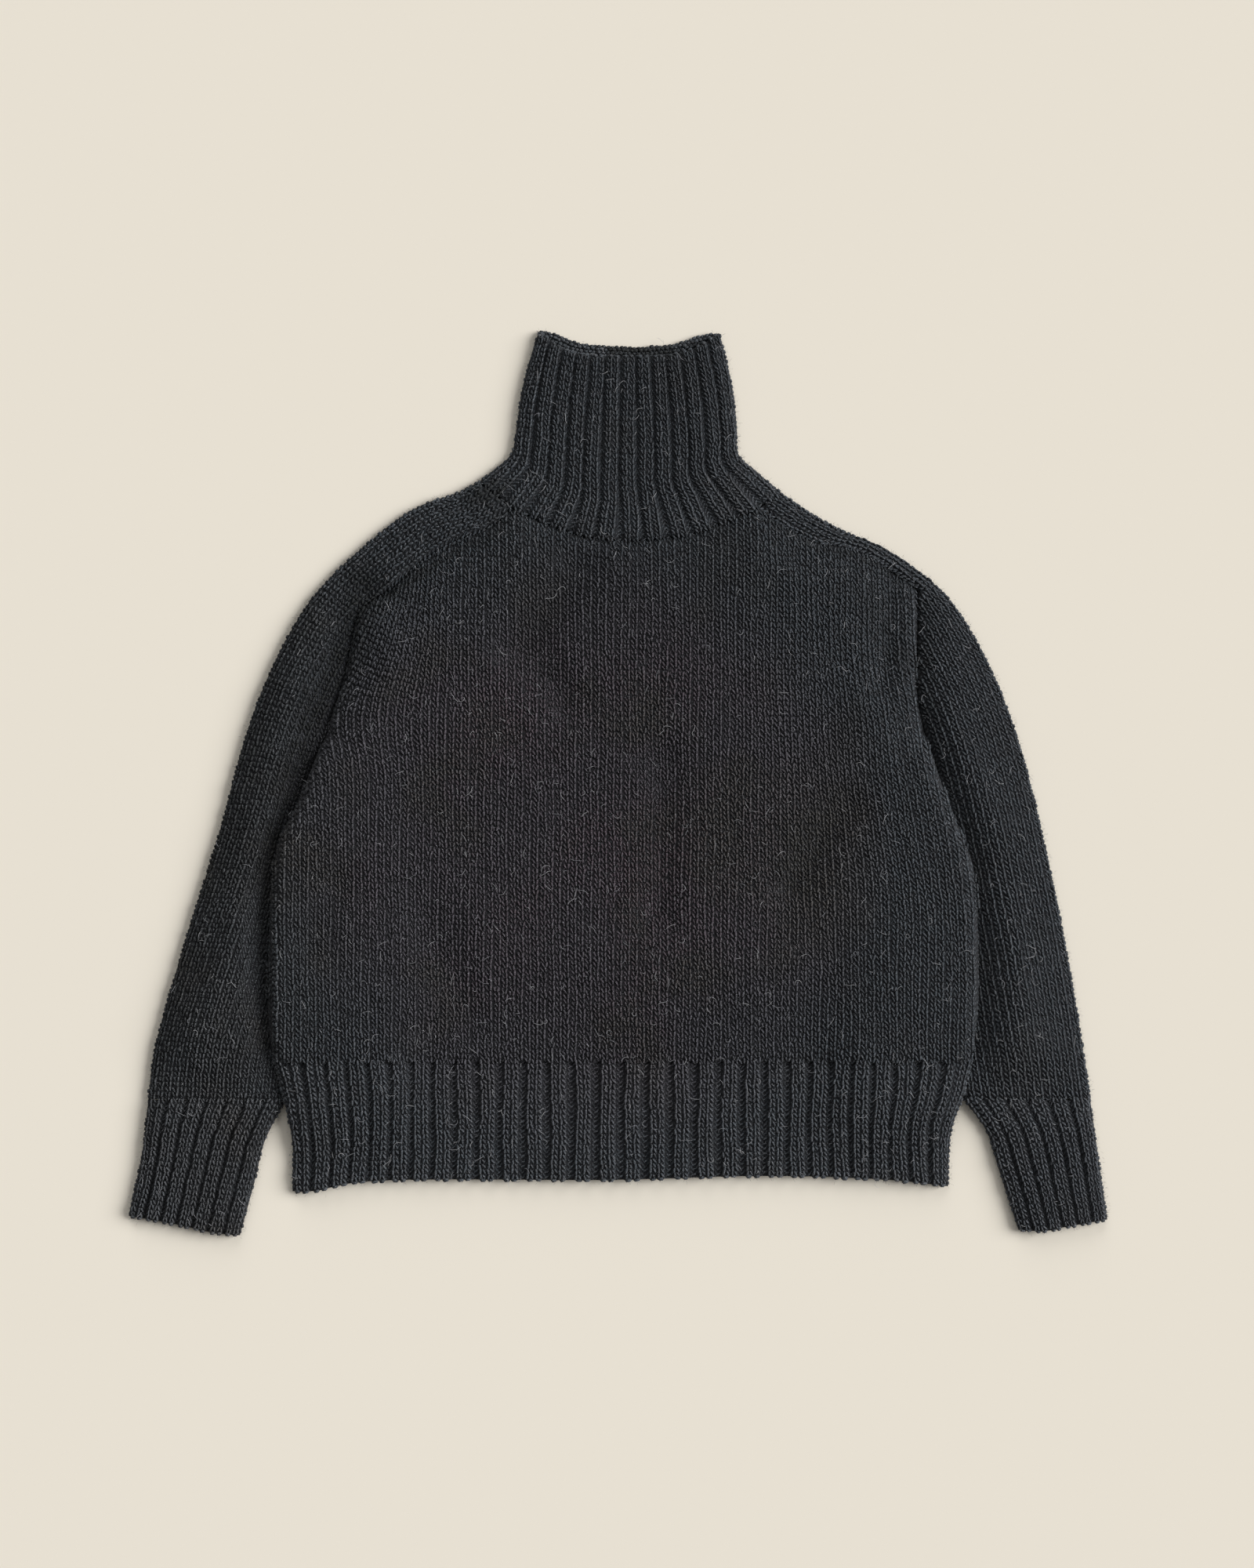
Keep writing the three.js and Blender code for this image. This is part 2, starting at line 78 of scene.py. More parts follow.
def makeCamera():
    data = bpy.data.cameras.new("overhead_camera")
    data.sensor_width = picture["sensor"]
    data.lens = picture["sensor"] * picture["distance"] / picture["height"]
    data.clip_end = picture["reach"]
    camera = addObject("overhead_camera", data)
    middleX, middleY = picture["middle"]
    camera.location = (middleX * mm, middleY * mm, picture["distance"] * mm)
    bpy.context.scene.camera = camera


makeCamera()
print("camera ready")


class Sock:  # wraps a shader socket, so that maths on it reads as plain expressions
    def __init__(self, material, socket):
        self.material, self.socket = material, socket

    def _math(self, operation, *values, swap=False):
        order = (*values, self) if swap else (self, *values)
        return self.material.add("ShaderNodeMath", {"operation": operation}, dict(enumerate(order)))

    def __add__(self, other): return self._math("ADD", other)
    def __sub__(self, other): return self._math("SUBTRACT", other)
    def __rsub__(self, other): return self._math("SUBTRACT", other, swap=True)
    def __mul__(self, other): return self._math("MULTIPLY", other)
    def __truediv__(self, other): return self._math("DIVIDE", other)
    def __pow__(self, other): return self._math("POWER", other)
    def sin(self): return self._math("SINE")
    def abs(self): return self._math("ABSOLUTE")
    def fract(self): return self._math("FRACT")
    def clamp(self): return self._math("MAXIMUM", 0.0)._math("MINIMUM", 1.0)
    def ramp(self, start, gain, share=1.0): return ((self - start) * gain).clamp() * share


class Material:  # builds one node tree
    def __init__(self, name):
        self.data = bpy.data.materials.new(name)
        self.data.use_nodes = True
        self.data.node_tree.nodes.clear()

    def add(self, kind, settings=None, inputs=None, output=0):
        plain = {key: getattr(value, "socket", value) for key, value in (inputs or {}).items()}
        self.last = addNode(self.data.node_tree, kind, settings or {}, plain)
        return Sock(self, self.last.outputs[output]) if self.last.outputs else None

    def mixColours(self, share, first, second):
        inputs = {"Factor": share, 6: first, 7: second}
        return self.add("ShaderNodeMix", {"data_type": "RGBA"}, inputs, output=2)

    def noise(self, place, scale, detail=3.0):
        return self.add("ShaderNodeTexNoise", {}, {"Vector": place, "Scale": scale, "Detail": detail})

    def place(self):  # the object's own coordinates
        return self.add("ShaderNodeTexCoord", output=3)

    def surface(self, inputs):
        shader = self.add("ShaderNodeBsdfPrincipled", {}, inputs)
        self.add("ShaderNodeOutputMaterial", {}, {"Surface": shader})
        return self.data


# Wool colours, and how finely and how far they vary
wool = {
    # the darkest wool tone: the yarn's own dark fibres, and painted shade in the grooves between stitches
    "shadeAndDarkFibre": (0.009, 0.0093, 0.0108, 1),
    "body": (0.064, 0.065, 0.073, 1),
    "light": (0.30, 0.305, 0.33, 1),
    "warm": (0.106, 0.071, 0.086, 1),
    "cool": (0.056, 0.070, 0.082, 1),
    "olive": (0.062, 0.0555, 0.047, 1),
    "pale": (0.38, 0.385, 0.40, 1),
    "hair": (0.60, 0.60, 0.61, 1),
    # the tone that the painted shade in creases and hollows mixes the wool towards
    "fold": (0.017, 0.0178, 0.0155, 1),
    "ribPaler": 0.07,       # the ribbing looks a little paler than the plain knit
    "roughness": 0.9,
    "sheen": 0.055,
    "fibreScale": 1300,     # fine fibres along the yarn, a little under a millimetre each
    "heatherScale": 260,    # darker and lighter stretches of yarn
    "tintScale": 9,         # broad drift of colour across the garment
    "oliveScale": 17,       # brown and olive patches, smaller
    "tintShare": 0.95,
    "hairScale": 60.0, "hairRoughness": 0.6,
    "middle": (-0.03, -0.05, 0.23, 0.23, 1.25),   # the front's warm middle: place, reach and strength
    "brown": (0.8, -0.03, 0.3, 0.4, 1.0),         # a brown patch on its right, measured in those reaches
    "bump": 1.0, "bumpDepth": 1.5, "wallBump": 0.9, "wallDepth": 1.2,   # strength, and depth in millimetres
    "wallShare": 0.06, "collarShare": 0.13,   # how pale the painted shade in the gaps between stitches is
}
# Where each change of colour starts, how fast it grows, and its full share
tones = {
    "leftOlive": (-0.2, -9.0, 0.6), "rightPaintedLight": (0.04, 0.26),     # by metres across the garment
    "chestFrom": (0.6, 2.0), "chestTo": (1.2, -4.0),                # a darker chest, by reaches up
    "drift": (0.4, 4.0, 0.45), "olive": (0.52, 6.0),                # by the noise, as are those below
    "heather": (0.55, -6.0, 0.7), "darkFibre": (0.46, -6.5, 0.8), "lightFibre": (0.54, 6.5, 0.9),
    "hair": (0.35, 3.0),
}


def spot(x, y, form):  # the place in reaches from a spot's middle, and its share there
    middleX, middleY, reachX, reachY, strength = form
    u, v = (x - middleX) / reachX, (y - middleY) / reachY
    return u, v, (strength - u * u - v * v).clamp()


def woolColour(m, place, paler):
    shade = m.add("ShaderNodeAttribute", {"attribute_name": "shade"}, output=2)
    heather, fibre = m.noise(place, wool["heatherScale"]), m.noise(place, wool["fibreScale"])
    drift, olive = m.noise(place, wool["tintScale"], 2.0), m.noise(place, wool["oliveScale"], 2.0)
    x = m.add("ShaderNodeSeparateXYZ", {}, {"Vector": place})
    y = Sock(m, m.last.outputs[1])
    leftSide = x.ramp(*tones["leftOlive"])             # more olive on the left sleeve
    paler = x.ramp(*tones["rightPaintedLight"]) + paler       # painted light: the right side, towards the key light, is painted a little paler
    x, y, middle = spot(x, y, wool["middle"])
    tint = m.mixColours((drift.ramp(*tones["drift"]) + 0.55) * middle, wool["cool"], wool["warm"])
    patches = olive.ramp(*tones["olive"]) * (middle * 0.55 + 0.3) + spot(x, y, wool["brown"])[2] * 0.7
    tint = m.mixColours((patches + leftSide * (olive * 1.5)).clamp(), tint, wool["olive"])
    chest = y.ramp(*tones["chestFrom"]) * y.ramp(*tones["chestTo"]) * 0.16
    base = m.mixColours(chest, m.mixColours(wool["tintShare"], wool["body"], tint), wool["shadeAndDarkFibre"])
    # Dark and light fibres over it
    colour = m.mixColours(heather.ramp(*tones["heather"]), base, wool["shadeAndDarkFibre"])
    colour = m.mixColours(fibre.ramp(*tones["darkFibre"]), colour, wool["shadeAndDarkFibre"])
    colour = m.mixColours(fibre.ramp(*tones["lightFibre"]), colour, wool["light"])
    # the right side's painted light and the ribbing's paler tone, mixed towards the light wool
    colour = m.mixColours(paler, colour, wool["light"])
    # painted shade: creases and hollows are mixed towards the fold tone by the shade attribute
    return m.mixColours(shade, colour, wool["fold"])


def woolSurface(m, colour, height, strength, depth):
    bump = m.add("ShaderNodeBump", {}, {"Strength": strength, "Distance": depth * mm, "Height": height})
    return m.surface({"Base Color": colour, "Roughness": wool["roughness"], "Normal": bump,
                      "Sheen Weight": wool["sheen"], "Sheen Roughness": 0.5, "Specular IOR Level": 0.15})


def yarnMaterial(name, paler):  # the stitches themselves: fibres and ply
    m = Material(name)
    place = m.place()
    colour = woolColour(m, place, paler)
    return woolSurface(m, colour, m.noise(place, wool["fibreScale"]), wool["bump"], wool["bumpDepth"])


def clothMaterial(name, least):  # the wall under the stitches, and the plain side it rests on, with painted shade in its knit grooves
    m = Material(name)
    uv = m.add("ShaderNodeUVMap", {"uv_map": "knit"})
    parts = m.add("ShaderNodeSeparateXYZ", {}, {"Vector": uv})
    across, along = parts, Sock(m, m.last.outputs[1])
    half = (across.fract() - 0.5).abs() * 2.0          # 0 on a wale's centre line, 1 between wales
    legs = ((along - half * 0.9) * (2 * math.pi)).sin() * 0.5 + 0.5
    groove = 1 - (half * 2.0 - 1.0).abs() ** 3.0
    height = legs * groove
    # painted shade: the low parts of the knit pattern are mixed towards the darkest tone
    colour = m.mixColours(height * 0.5 + least, wool["shadeAndDarkFibre"], woolColour(m, m.place(), 0.0))
    return woolSurface(m, colour, height, wool["wallBump"], wool["wallDepth"])


def hairMaterial(name, low, high):  # some hairs darker, some paler, in patches
    m = Material(name)
    share = m.noise(m.place(), wool["hairScale"], 1.0).ramp(*tones["hair"])
    return m.surface({"Base Color": m.mixColours(share, low, high), "Roughness": wool["hairRoughness"]})


yarn, ribYarn = yarnMaterial("yarn", 0.0), yarnMaterial("rib_yarn", wool["ribPaler"])
clothWall = clothMaterial("knit_wall", wool["wallShare"])
collarWall = clothMaterial("collar_wall", wool["collarShare"])
hair = hairMaterial("stray_hair", wool["light"], wool["hair"])
fleck = hairMaterial("short_fuzz", wool["cool"], wool["pale"])
dimFleck = hairMaterial("edge_fuzz", wool["cool"], wool["olive"])
print("wool materials ready")

# A pale table, soft light from the right and a little from beyond the collar, in degrees
studio = {
    "table": (0.80, 0.745, 0.646, 1), "tableHalf": 6.0, "tableDrop": 0.2,
    "skyStrength": 0.22,
    "keyStrength": 3.8, "keyAzimuth": 10, "keyHeight": 32, "keyAngle": 38,
    "topStrength": 1.0, "topAzimuth": 95, "topHeight": 26, "topAngle": 40,
}


def addSun(name, strength, azimuth, height, angle):
    data = bpy.data.lights.new(name, "SUN")
    data.energy, data.angle = strength, math.radians(angle)
    addObject(name, data).rotation_euler = (0, math.radians(90 - height), math.radians(azimuth))


def makeStudio():
    bpy.context.scene.view_settings.view_transform = "Standard"
    world = bpy.data.worlds.new("soft_studio")
    world.use_nodes = True
    world.node_tree.nodes["Background"].inputs["Color"].default_value = (1, 1, 1, 1)
    world.node_tree.nodes["Background"].inputs["Strength"].default_value = studio["skyStrength"]
    bpy.context.scene.world = world
    for name in ("key", "top"):
        addSun(name + "_light", *(studio[name + part] for part in ("Strength", "Azimuth", "Height", "Angle")))
    half, level = studio["tableHalf"], -studio["tableDrop"] * mm
    mesh = bpy.data.meshes.new("table")
    mesh.from_pydata([(x, y, level) for x, y in ((-half, -half), (half, -half), (half, half), (-half, half))],
                     [], [(0, 1, 2, 3)])
    mesh.materials.append(Material("table_top").surface({
        "Base Color": studio["table"], "Roughness": 1.0, "Specular IOR Level": 0.0}))
    addObject("table", mesh)


makeStudio()
print("table and light ready")


class Line:  # a smooth line through outline points, read by the share of its length
    def __init__(self, points):
        corners = np.array(points, float) * mm
        self.dense = corners if len(corners) == 2 else self._curved(corners)
        self.reach = np.concatenate([[0], np.cumsum(span(np.diff(self.dense, axis=0)))])
        self.length = self.reach[-1]

    def _curved(self, p):
        p = np.vstack([2 * p[0] - p[1], p, 2 * p[-1] - p[-2]])
        gaps = np.sqrt(span(np.diff(p, axis=0)))
        t = np.linspace(0, 1, 24, endpoint=False)[:, None]
        pieces = []
        for k in range(1, len(p) - 2):
            before, here, after = gaps[k - 1], gaps[k], gaps[k + 1]
            run = p[k + 1] - p[k]
            start = (p[k] - p[k - 1]) / before - (p[k + 1] - p[k - 1]) / (before + here) + run / here
            end = run / here - (p[k + 2] - p[k]) / (here + after) + (p[k + 2] - p[k + 1]) / after
            start, end = start * here, end * here
            pieces.append(p[k] + start * t + (3 * run - 2 * start - end) * t ** 2
                          + (start + end - 2 * run) * t ** 3)
        return np.vstack([*pieces, p[-2:-1]])

    def __call__(self, share):
        reach = np.clip(share, 0, 1) * self.length
        return np.stack([np.interp(reach, self.reach, self.dense[:, k]) for k in (0, 1)], -1)

    def atLevel(self, y):  # the x of a steadily climbing line
        order = np.argsort(self.dense[:, 1])
        return np.interp(y, self.dense[order, 1], self.dense[order, 0])


def joined(lines, ends):  # lines end to end, each up to its own share of the whole
    def place(share):
        share = np.asarray(share, float)
        result, start = np.zeros(share.shape + (2,)), 0.0
        for line, end in zip(lines, ends):
            inside = (share >= start) if end >= 1 else (share >= start) & (share < end)
            result = np.where(inside[..., None], line((share - start) / (end - start)), result)
            start = end
        return result
    return place


def patchBetween(bottom, top, left, right, fade=1):
    # The bends of the sides fade towards the middle, faster with a higher power
    def place(across, up):
        u, v = across[..., None], up[..., None]
        rising = bottom(across) * (1 - v) + top(across) * v
        zero, one = np.zeros(1), np.ones(1)
        bendLeft = left(up) - bottom(zero) * (1 - v) - top(zero) * v
        bendRight = right(up) - bottom(one) * (1 - v) - top(one) * v
        return rising + bendLeft * (1 - u) ** fade + bendRight * u ** fade
    return place


def smoothstep(value, low, high):
    t = np.clip((value - low) / (high - low), 0, 1)
    return t * t * (3 - 2 * t)


def distanceTo(points, line):
    best = np.full(points.shape[:-1], np.inf)
    for a, b in zip(line[:-1], line[1:]):
        run = b - a
        share = np.clip(((points - a) @ run) / max(run @ run, 1e-12), 0, 1)
        best = np.minimum(best, span(points - a - share[..., None] * run))
    return best


def isInside(points, outline):
    x, y = points[..., 0], points[..., 1]
    inside = np.zeros(x.shape, bool)
    for a, b in zip(outline, np.roll(outline, -1, axis=0)):
        crosses = (a[1] > y) != (b[1] > y)
        height = b[1] - a[1] if b[1] != a[1] else 1e-12
        inside ^= crosses & (x < (b[0] - a[0]) * (y - a[1]) / height + a[0])
    return inside


# How the cloth lies, in millimetres: walls, the swell of the upper layers and the roll at their edges, and
# where the body climbs onto the sleeves: sideways, upwards from its foot, and downwards from its top
cloth = {
    "wall": 3.0, "slit": 0.5, "puff": 4.2, "roll": 8.0, "foldInset": 3.2, "seamShare": 0.45, "waver": 0.6,
    "middle": 3.5, "flatTo": 150, "fullFrom": 198, "foot": -312, "footFull": -262, "topFull": 3, "top": 42,
    # slow waves over the cloth: millimetres a radian across and up, start and share
    "waves": ((19, 31, 1.3, 1.0), (34, -23, 0.4, 1.0), (11, -47, 2.2, 0.7)),
}
wall, slit = cloth["wall"] * mm, cloth["slit"] * mm
sleeveHeight = 2 * wall + slit
bodyLift = sleeveHeight + slit

# Troughs pressed into the upper layer: x and y at both ends, half width, share of the puff
troughs = [
    (-33, 176, -75, 113, 20, 0.9), (-75, 113, -44, 71, 18, 0.7), (224, 174, 214, 78, 12, 0.8),
    (190, -20, 140, -80, 16, 0.9), (-226, -80, -246, -130, 16, 0.8), (38, 20, 34, -110, 18, 0.6),
    (-160, -110, -120, -190, 20, 0.5), (-262, 60, -290, -10, 12, 0.8), (-300, -60, -345, -150, 12, 0.6),
    (262, 110, 300, 20, 12, 0.7), (318, -70, 345, -170, 12, 0.6),
]


def rounded(inset, width=cloth["roll"]):  # share of the full height at a distance from a rolled edge
    reach = np.clip(inset / (width * mm), 0, 1)
    return np.sqrt(np.clip(1 - (1 - reach) ** 2, 0, 1))


def sloped(inset, width):  # the same, with an even slope from the edge
    return np.sin(np.clip(inset / (width * mm), 0, 1) * math.pi / 2)


def sewnEdge(inset):
    return cloth["seamShare"] + (1 - cloth["seamShare"]) * rounded(inset)


def inMillimetres(points):
    return points[..., 0] / mm, points[..., 1] / mm


def lift(points):  # how far the body lies over the sleeves
    x, y = inMillimetres(points)
    side = smoothstep(np.abs(x - cloth["middle"]), cloth["flatTo"], cloth["fullFrom"])
    foot = smoothstep(y, cloth["foot"], cloth["footFull"])
    return bodyLift * side * foot * (1 - smoothstep(y, cloth["topFull"], cloth["top"]))


def waver(points):  # slow unevenness of hand-knit cloth
    x, y = inMillimetres(points)
    wave = sum(share * np.sin(x / across + y / up + start) for across, up, start, share in cloth["waves"])
    return cloth["waver"] * mm * (1 + wave / sum(share for *_, share in cloth["waves"]))


def nearness(points, rows):  # how near the points are to each row's line, from 0 to its share
    for x0, y0, x1, y1, spread, share in rows:
        away = distanceTo(points, np.array([[x0, y0], [x1, y1]]) * mm)
        yield share * np.exp(-((away / (spread * mm)) ** 2))


def unpressed(points):  # 1 where no trough presses the cloth
    left = np.ones(points.shape[:-1])
    for near in nearness(points, troughs):
        left *= 1 - near
    return left


# Painted shade, where the wool is painted darker along deep creases, hollows and seams, and broadly over the
# collar and upper chest: x and y at both ends, half width, share
paintedShadeLines = [
    (-206, 164, -224, 108, 17, 0.72), (-224, 108, -250, 56, 18, 0.78), (-250, 56, -271, -3, 14, 0.72),
    (-270, -3, -287, -62, 8, 0.65), (-287, -62, -290, -126, 6, 0.6), (-290, -126, -286, -215, 6, 0.5),
    (-255, 153, -284, 91, 14, 0.3), (-284, 91, -305, 12, 22, 0.42), (-305, 12, -328, -60, 24, 0.42),
    (-328, -60, -352, -150, 12, 0.42), (-356, -150, -376, -235, 9, 0.4), (-376, -235, -385, -290, 8, 0.3),
    (249, 145, 250, 62, 7, 0.35), (250, 62, 271, -5, 7, 0.35), (271, -5, 292, -55, 7, 0.35),
    (292, -55, 298, -126, 7, 0.35), (298, -126, 296, -212, 7, 0.3), (203, 153, 228, 100, 12, 0.32),
    (190, 60, 168, 20, 14, 0.16), (175, -10, 135, -70, 16, 0.2), (199, -130, 190, -150, 16, 0.16),
    (-99, 241, -112, 236, 12, 0.75), (-33, 176, -75, 113, 14, 0.2), (-75, 113, -44, 71, 12, 0.16),
    (30, 60, 34, -110, 12, 0.14), (-6, 354.5, 42, 354, 5, 0.8),
    (-60, 361, 70, 359, 4, 0.3), (-197, 147, -160, 173, 4, 0.55), (-160, 173, -126, 194, 4, 0.5),
    (-126, 194, -102, 204, 4, 0.4), (112, 221, 137, 205, 3, 0.45), (137, 205, 163, 193, 3, 0.45),
    (6, 215, 12, 350, 80, 0.12),
    (163, 193, 200, 184, 3, 0.4), (200, 184, 240, 158, 3, 0.35),
]


def paintedShadeAt(points):
    shade = np.zeros(points.shape[:-1])
    for near in nearness(points, paintedShadeLines):
        shade = np.maximum(shade, near)
    return shade


def loft(points):
    return cloth["puff"] * mm * unpressed(points) + waver(points)


def wallObject(name, outer, inner, uv, isRing):
    # A closed wall between two grids of points, rows by columns, as a sheet or a ring
    rows, columns = outer.shape[:2]
    index = np.arange(2 * rows * columns).reshape(2, rows, columns)
    if isRing:
        index = np.concatenate([index, index[:, :, :1]], axis=2)
    a, b = index[0], index[1]

    def quads(p, q, r, s):
        return np.stack([p, q, r, s], -1).reshape(-1, 4)

    faces = [quads(a[:-1, :-1], a[:-1, 1:], a[1:, 1:], a[1:, :-1]),
             quads(b[:-1, :-1], b[1:, :-1], b[1:, 1:], b[:-1, 1:]),
             quads(a[0, :-1], b[0, :-1], b[0, 1:], a[0, 1:]),
             quads(a[-1, :-1], a[-1, 1:], b[-1, 1:], b[-1, :-1])]
    if not isRing:
        faces += [quads(a[:-1, 0], a[1:, 0], b[1:, 0], b[:-1, 0]),
                  quads(a[:-1, -1], b[:-1, -1], b[1:, -1], a[1:, -1])]
    faces = np.vstack(faces)
    points = np.concatenate([outer.reshape(-1, 3), inner.reshape(-1, 3)])
    p, q, r, s = (points[faces[:, k]] for k in range(4))
    volume = np.sum(p * np.cross(q, r)) + np.sum(p * np.cross(r, s))
    if volume < 0:
        faces = faces[:, ::-1]
    mesh = bpy.data.meshes.new(name)
    mesh.from_pydata(points.tolist(), [], faces.tolist())
    layer = mesh.uv_layers.new(name="knit")
    flat = np.concatenate([uv.reshape(-1, 2)] * 2)
    layer.data.foreach_set("uv", flat[faces.ravel()].ravel())
    mesh.polygons.foreach_set("use_smooth", np.ones(len(faces), bool))
    mesh.materials.append(clothWall)
    return addObject(name, mesh)


def onBody(item):
    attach(item, "root")
    return item


# Stitches, each one a small pair of legs set on a point by Geometry Nodes, in millimetres and degrees
knit = {
    "wale": 6.2, "row": 4.2,           # the gauge
    "legWidth": 1.12, "legHeight": 1.75,  # half width and height of a leg of yarn
    "leftLeg": ((0.3, -2.7, 0.1), (-2.6, 1.9, -0.4), 0.82),   # x, y and z at each end, and the girth
    "rightLeg": ((1.35, -2.9, 0.15), (2.0, 2.7, 0.1), 0.88),
    "purlBar": ((-2.6, -1.5, 0.0), (2.6, 1.6, 0.0), 0.8),
    "jitter": 0.31, "turn": 7.5, "loose": 0.13, "seed": 7,
}
legRings = [(0.26, 0.92), (0.74, 0.92)]  # share along a leg, share of its girth


def legMesh(name, legs):
    points, faces = [], []
    for (x0, y0, z0), (x1, y1, z1), girth in legs:
        run = np.array([x1 - x0, y1 - y0])
        side = np.array([-run[1], run[0]]) / span(run)
        first = len(points)
        points.append((x0, y0, z0 + 0.1))
        for share, size in legRings:
            at = np.array([x0, y0]) + run * share
            half = side * knit["legWidth"] * girth * size
            rise = z0 + (z1 - z0) * share + 0.5 * math.sin(math.pi * share)
            points += [(*(at + half), rise - 0.1), (*at, rise + knit["legHeight"] * girth * size),
                       (*(at - half), rise - 0.1)]
        points.append((x1, y1, z1 - 0.5))
        last = len(points) - 1
        for k in range(3):
            nextK = (k + 1) % 3
            faces.append((first, first + 1 + nextK, first + 1 + k))
            faces.append((last, last - 3 + k, last - 3 + nextK))
            faces.append((first + 1 + k, first + 1 + nextK, first + 4 + nextK, first + 4 + k))
    mesh = bpy.data.meshes.new(name)
    mesh.from_pydata((np.array(points) * mm).tolist(), [], faces)
    mesh.polygons.foreach_set("use_smooth", np.ones(len(faces), bool))
    return bpy.data.objects.new(name, mesh)


def stitchTree():
    tree = bpy.data.node_groups.new("stitches_on_points", "GeometryNodeTree")
    sockets = {}
    for name, kind, value in [("Points", "Geometry", None), ("Stitch", "Object", None),
                              ("Looseness", "Float", knit["loose"]), ("Seed", "Int", knit["seed"]),
                              ("Material", "Material", None)]:
        socket = tree.interface.new_socket(name, in_out="INPUT", socket_type="NodeSocket" + kind)
        if value is not None:
            socket.default_value = value
        sockets[name] = socket.identifier
    tree.interface.new_socket("Knitting", in_out="OUTPUT", socket_type="NodeSocketGeometry")

    def node(kind, settings, inputs, output=0):
        return addNode(tree, kind, settings, inputs).outputs[output]

    given = tree.nodes.new("NodeGroupInput").outputs
    turn, size = (node("GeometryNodeInputNamedAttribute", {"data_type": "FLOAT_VECTOR"}, {"Name": name})
                  for name in ("turn", "size"))
    least, most = (node("ShaderNodeMath", {"operation": way}, {0: 1.0, 1: given["Looseness"]})
                   for way in ("SUBTRACT", "ADD"))
    vary = node("FunctionNodeRandomValue", {"data_type": "FLOAT"},
                {2: least, 3: most, "Seed": given["Seed"]}, 1)
    scaled = node("ShaderNodeVectorMath", {"operation": "SCALE"}, {0: size, 3: vary})
    source = node("GeometryNodeObjectInfo", {"transform_space": "ORIGINAL"},
                  {"Object": given["Stitch"]}, "Geometry")
    placed = node("GeometryNodeInstanceOnPoints", {}, {
        "Points": given["Points"], "Instance": source, "Rotation": turn, "Scale": scaled})
    solid = node("GeometryNodeRealizeInstances", {}, {"Geometry": placed})
    dressed = node("GeometryNodeSetMaterial", {}, {"Geometry": solid, "Material": given["Material"]})
    addNode(tree, "NodeGroupOutput", {}, {"Knitting": dressed})
    return tree, sockets


stitches, stitchSockets = stitchTree()
knitLegs = legMesh("knit_stitch", [knit["leftLeg"], knit["rightLeg"]])
purlLeg = legMesh("purl_bar", [knit["purlBar"]])
edgeBump = legMesh("edge_bump", [((0.3, -2.7, -0.3), (-0.3, 2.7, -0.3), 1.25)])


def anglesFrom(along, normal):  # the turn that lays y along the wale and z off the cloth
    z = unit(normal)
    y = unit(along - np.sum(along * z, -1, keepdims=True) * z)
    x = np.cross(y, z)
    return np.stack([np.arctan2(y[..., 2], z[..., 2]), -np.arcsin(np.clip(x[..., 2], -1, 1)),
                     np.arctan2(x[..., 1], x[..., 0])], -1)


laid = []  # where every stitch lies, which way it faces and its shade, for the hairs


def knitted(name, stitch, points, along, normal, size, seed, wools=yarn):
    rng = np.random.default_rng(seed)
    count = len(points)
    points = points + rng.normal(0, knit["jitter"] * mm, (count, 3)) * (1, 1, 0.5)
    lean = np.radians(rng.normal(0, knit["turn"], count))[:, None]
    along, facing, shade = unit(along), unit(normal), paintedShadeAt(points[:, :2])
    along = along * np.cos(lean) + np.cross(facing, along) * np.sin(lean)
    laid.append(np.concatenate([points, facing, shade[:, None]], -1))
    mesh = bpy.data.meshes.new(name + "_points")
    mesh.from_pydata(points.tolist(), [], [])
    for key, values in (("turn", anglesFrom(along, normal)), ("size", size)):
        mesh.attributes.new(key, "FLOAT_VECTOR", "POINT").data.foreach_set("vector", values.ravel())
    # the painted shade at each stitch, read by the wool's colour
    mesh.attributes.new("shade", "FLOAT", "POINT").data.foreach_set("value", shade)
    holder = addObject(name + "_points", mesh)
    modifier = holder.modifiers.new("knitting", "NODES")
    modifier.node_group = stitches
    modifier[stitchSockets["Stitch"]] = stitch
    modifier[stitchSockets["Seed"]] = seed
    modifier[stitchSockets["Material"]] = wools
    graph = bpy.context.evaluated_depsgraph_get()
    result = bpy.data.meshes.new_from_object(holder.evaluated_get(graph))
    bpy.data.objects.remove(holder)
    result.name = name
    return addObject(name, result)


def placesAlong(line, pitch, reach):  # evenly spaced places, and the way ahead at each
    count = int(line.length / (pitch * mm))
    share = (np.arange(count) + 0.5) / count
    return line(share), line(share + reach / count) - line(share - reach / count)


def seamRow(name, line, pitch, height, lean, stitch, seed, wools=yarn):
    # Stitches that bridge a seam, turned from its run by a lean in degrees
    at, ahead = placesAlong(line, pitch, 0.4)
    turn, level = math.radians(lean), np.zeros(len(at))
    ahead = ahead @ np.array([[math.cos(turn), math.sin(turn)], [-math.sin(turn), math.cos(turn)]])
    facing = np.broadcast_to([0.0, 0.0, 1.0], (len(at), 3))
    return knitted(name, stitch, raised(at, level + height * mm), raised(ahead, level), facing,
                   sized(len(at)), seed, wools)


def joinedPiece(name, items):  # several knitted meshes as one
    bpy.ops.object.select_all(action="DESELECT")
    for item in items:
        item.select_set(True)
    bpy.context.view_layer.objects.active = items[0]
    bpy.ops.object.join()
    items[0].name = items[0].data.name = name
    return items[0]


def sized(count, width=1.0, length=1.0, height=1.0):
    return np.stack([np.broadcast_to(np.asarray(part, float), count) for part in (width, length, height)], -1)


def knitUV(plan):  # wales and rows as the two directions of the pattern
    return plan / (np.array([knit["wale"], knit["row"]]) * mm)


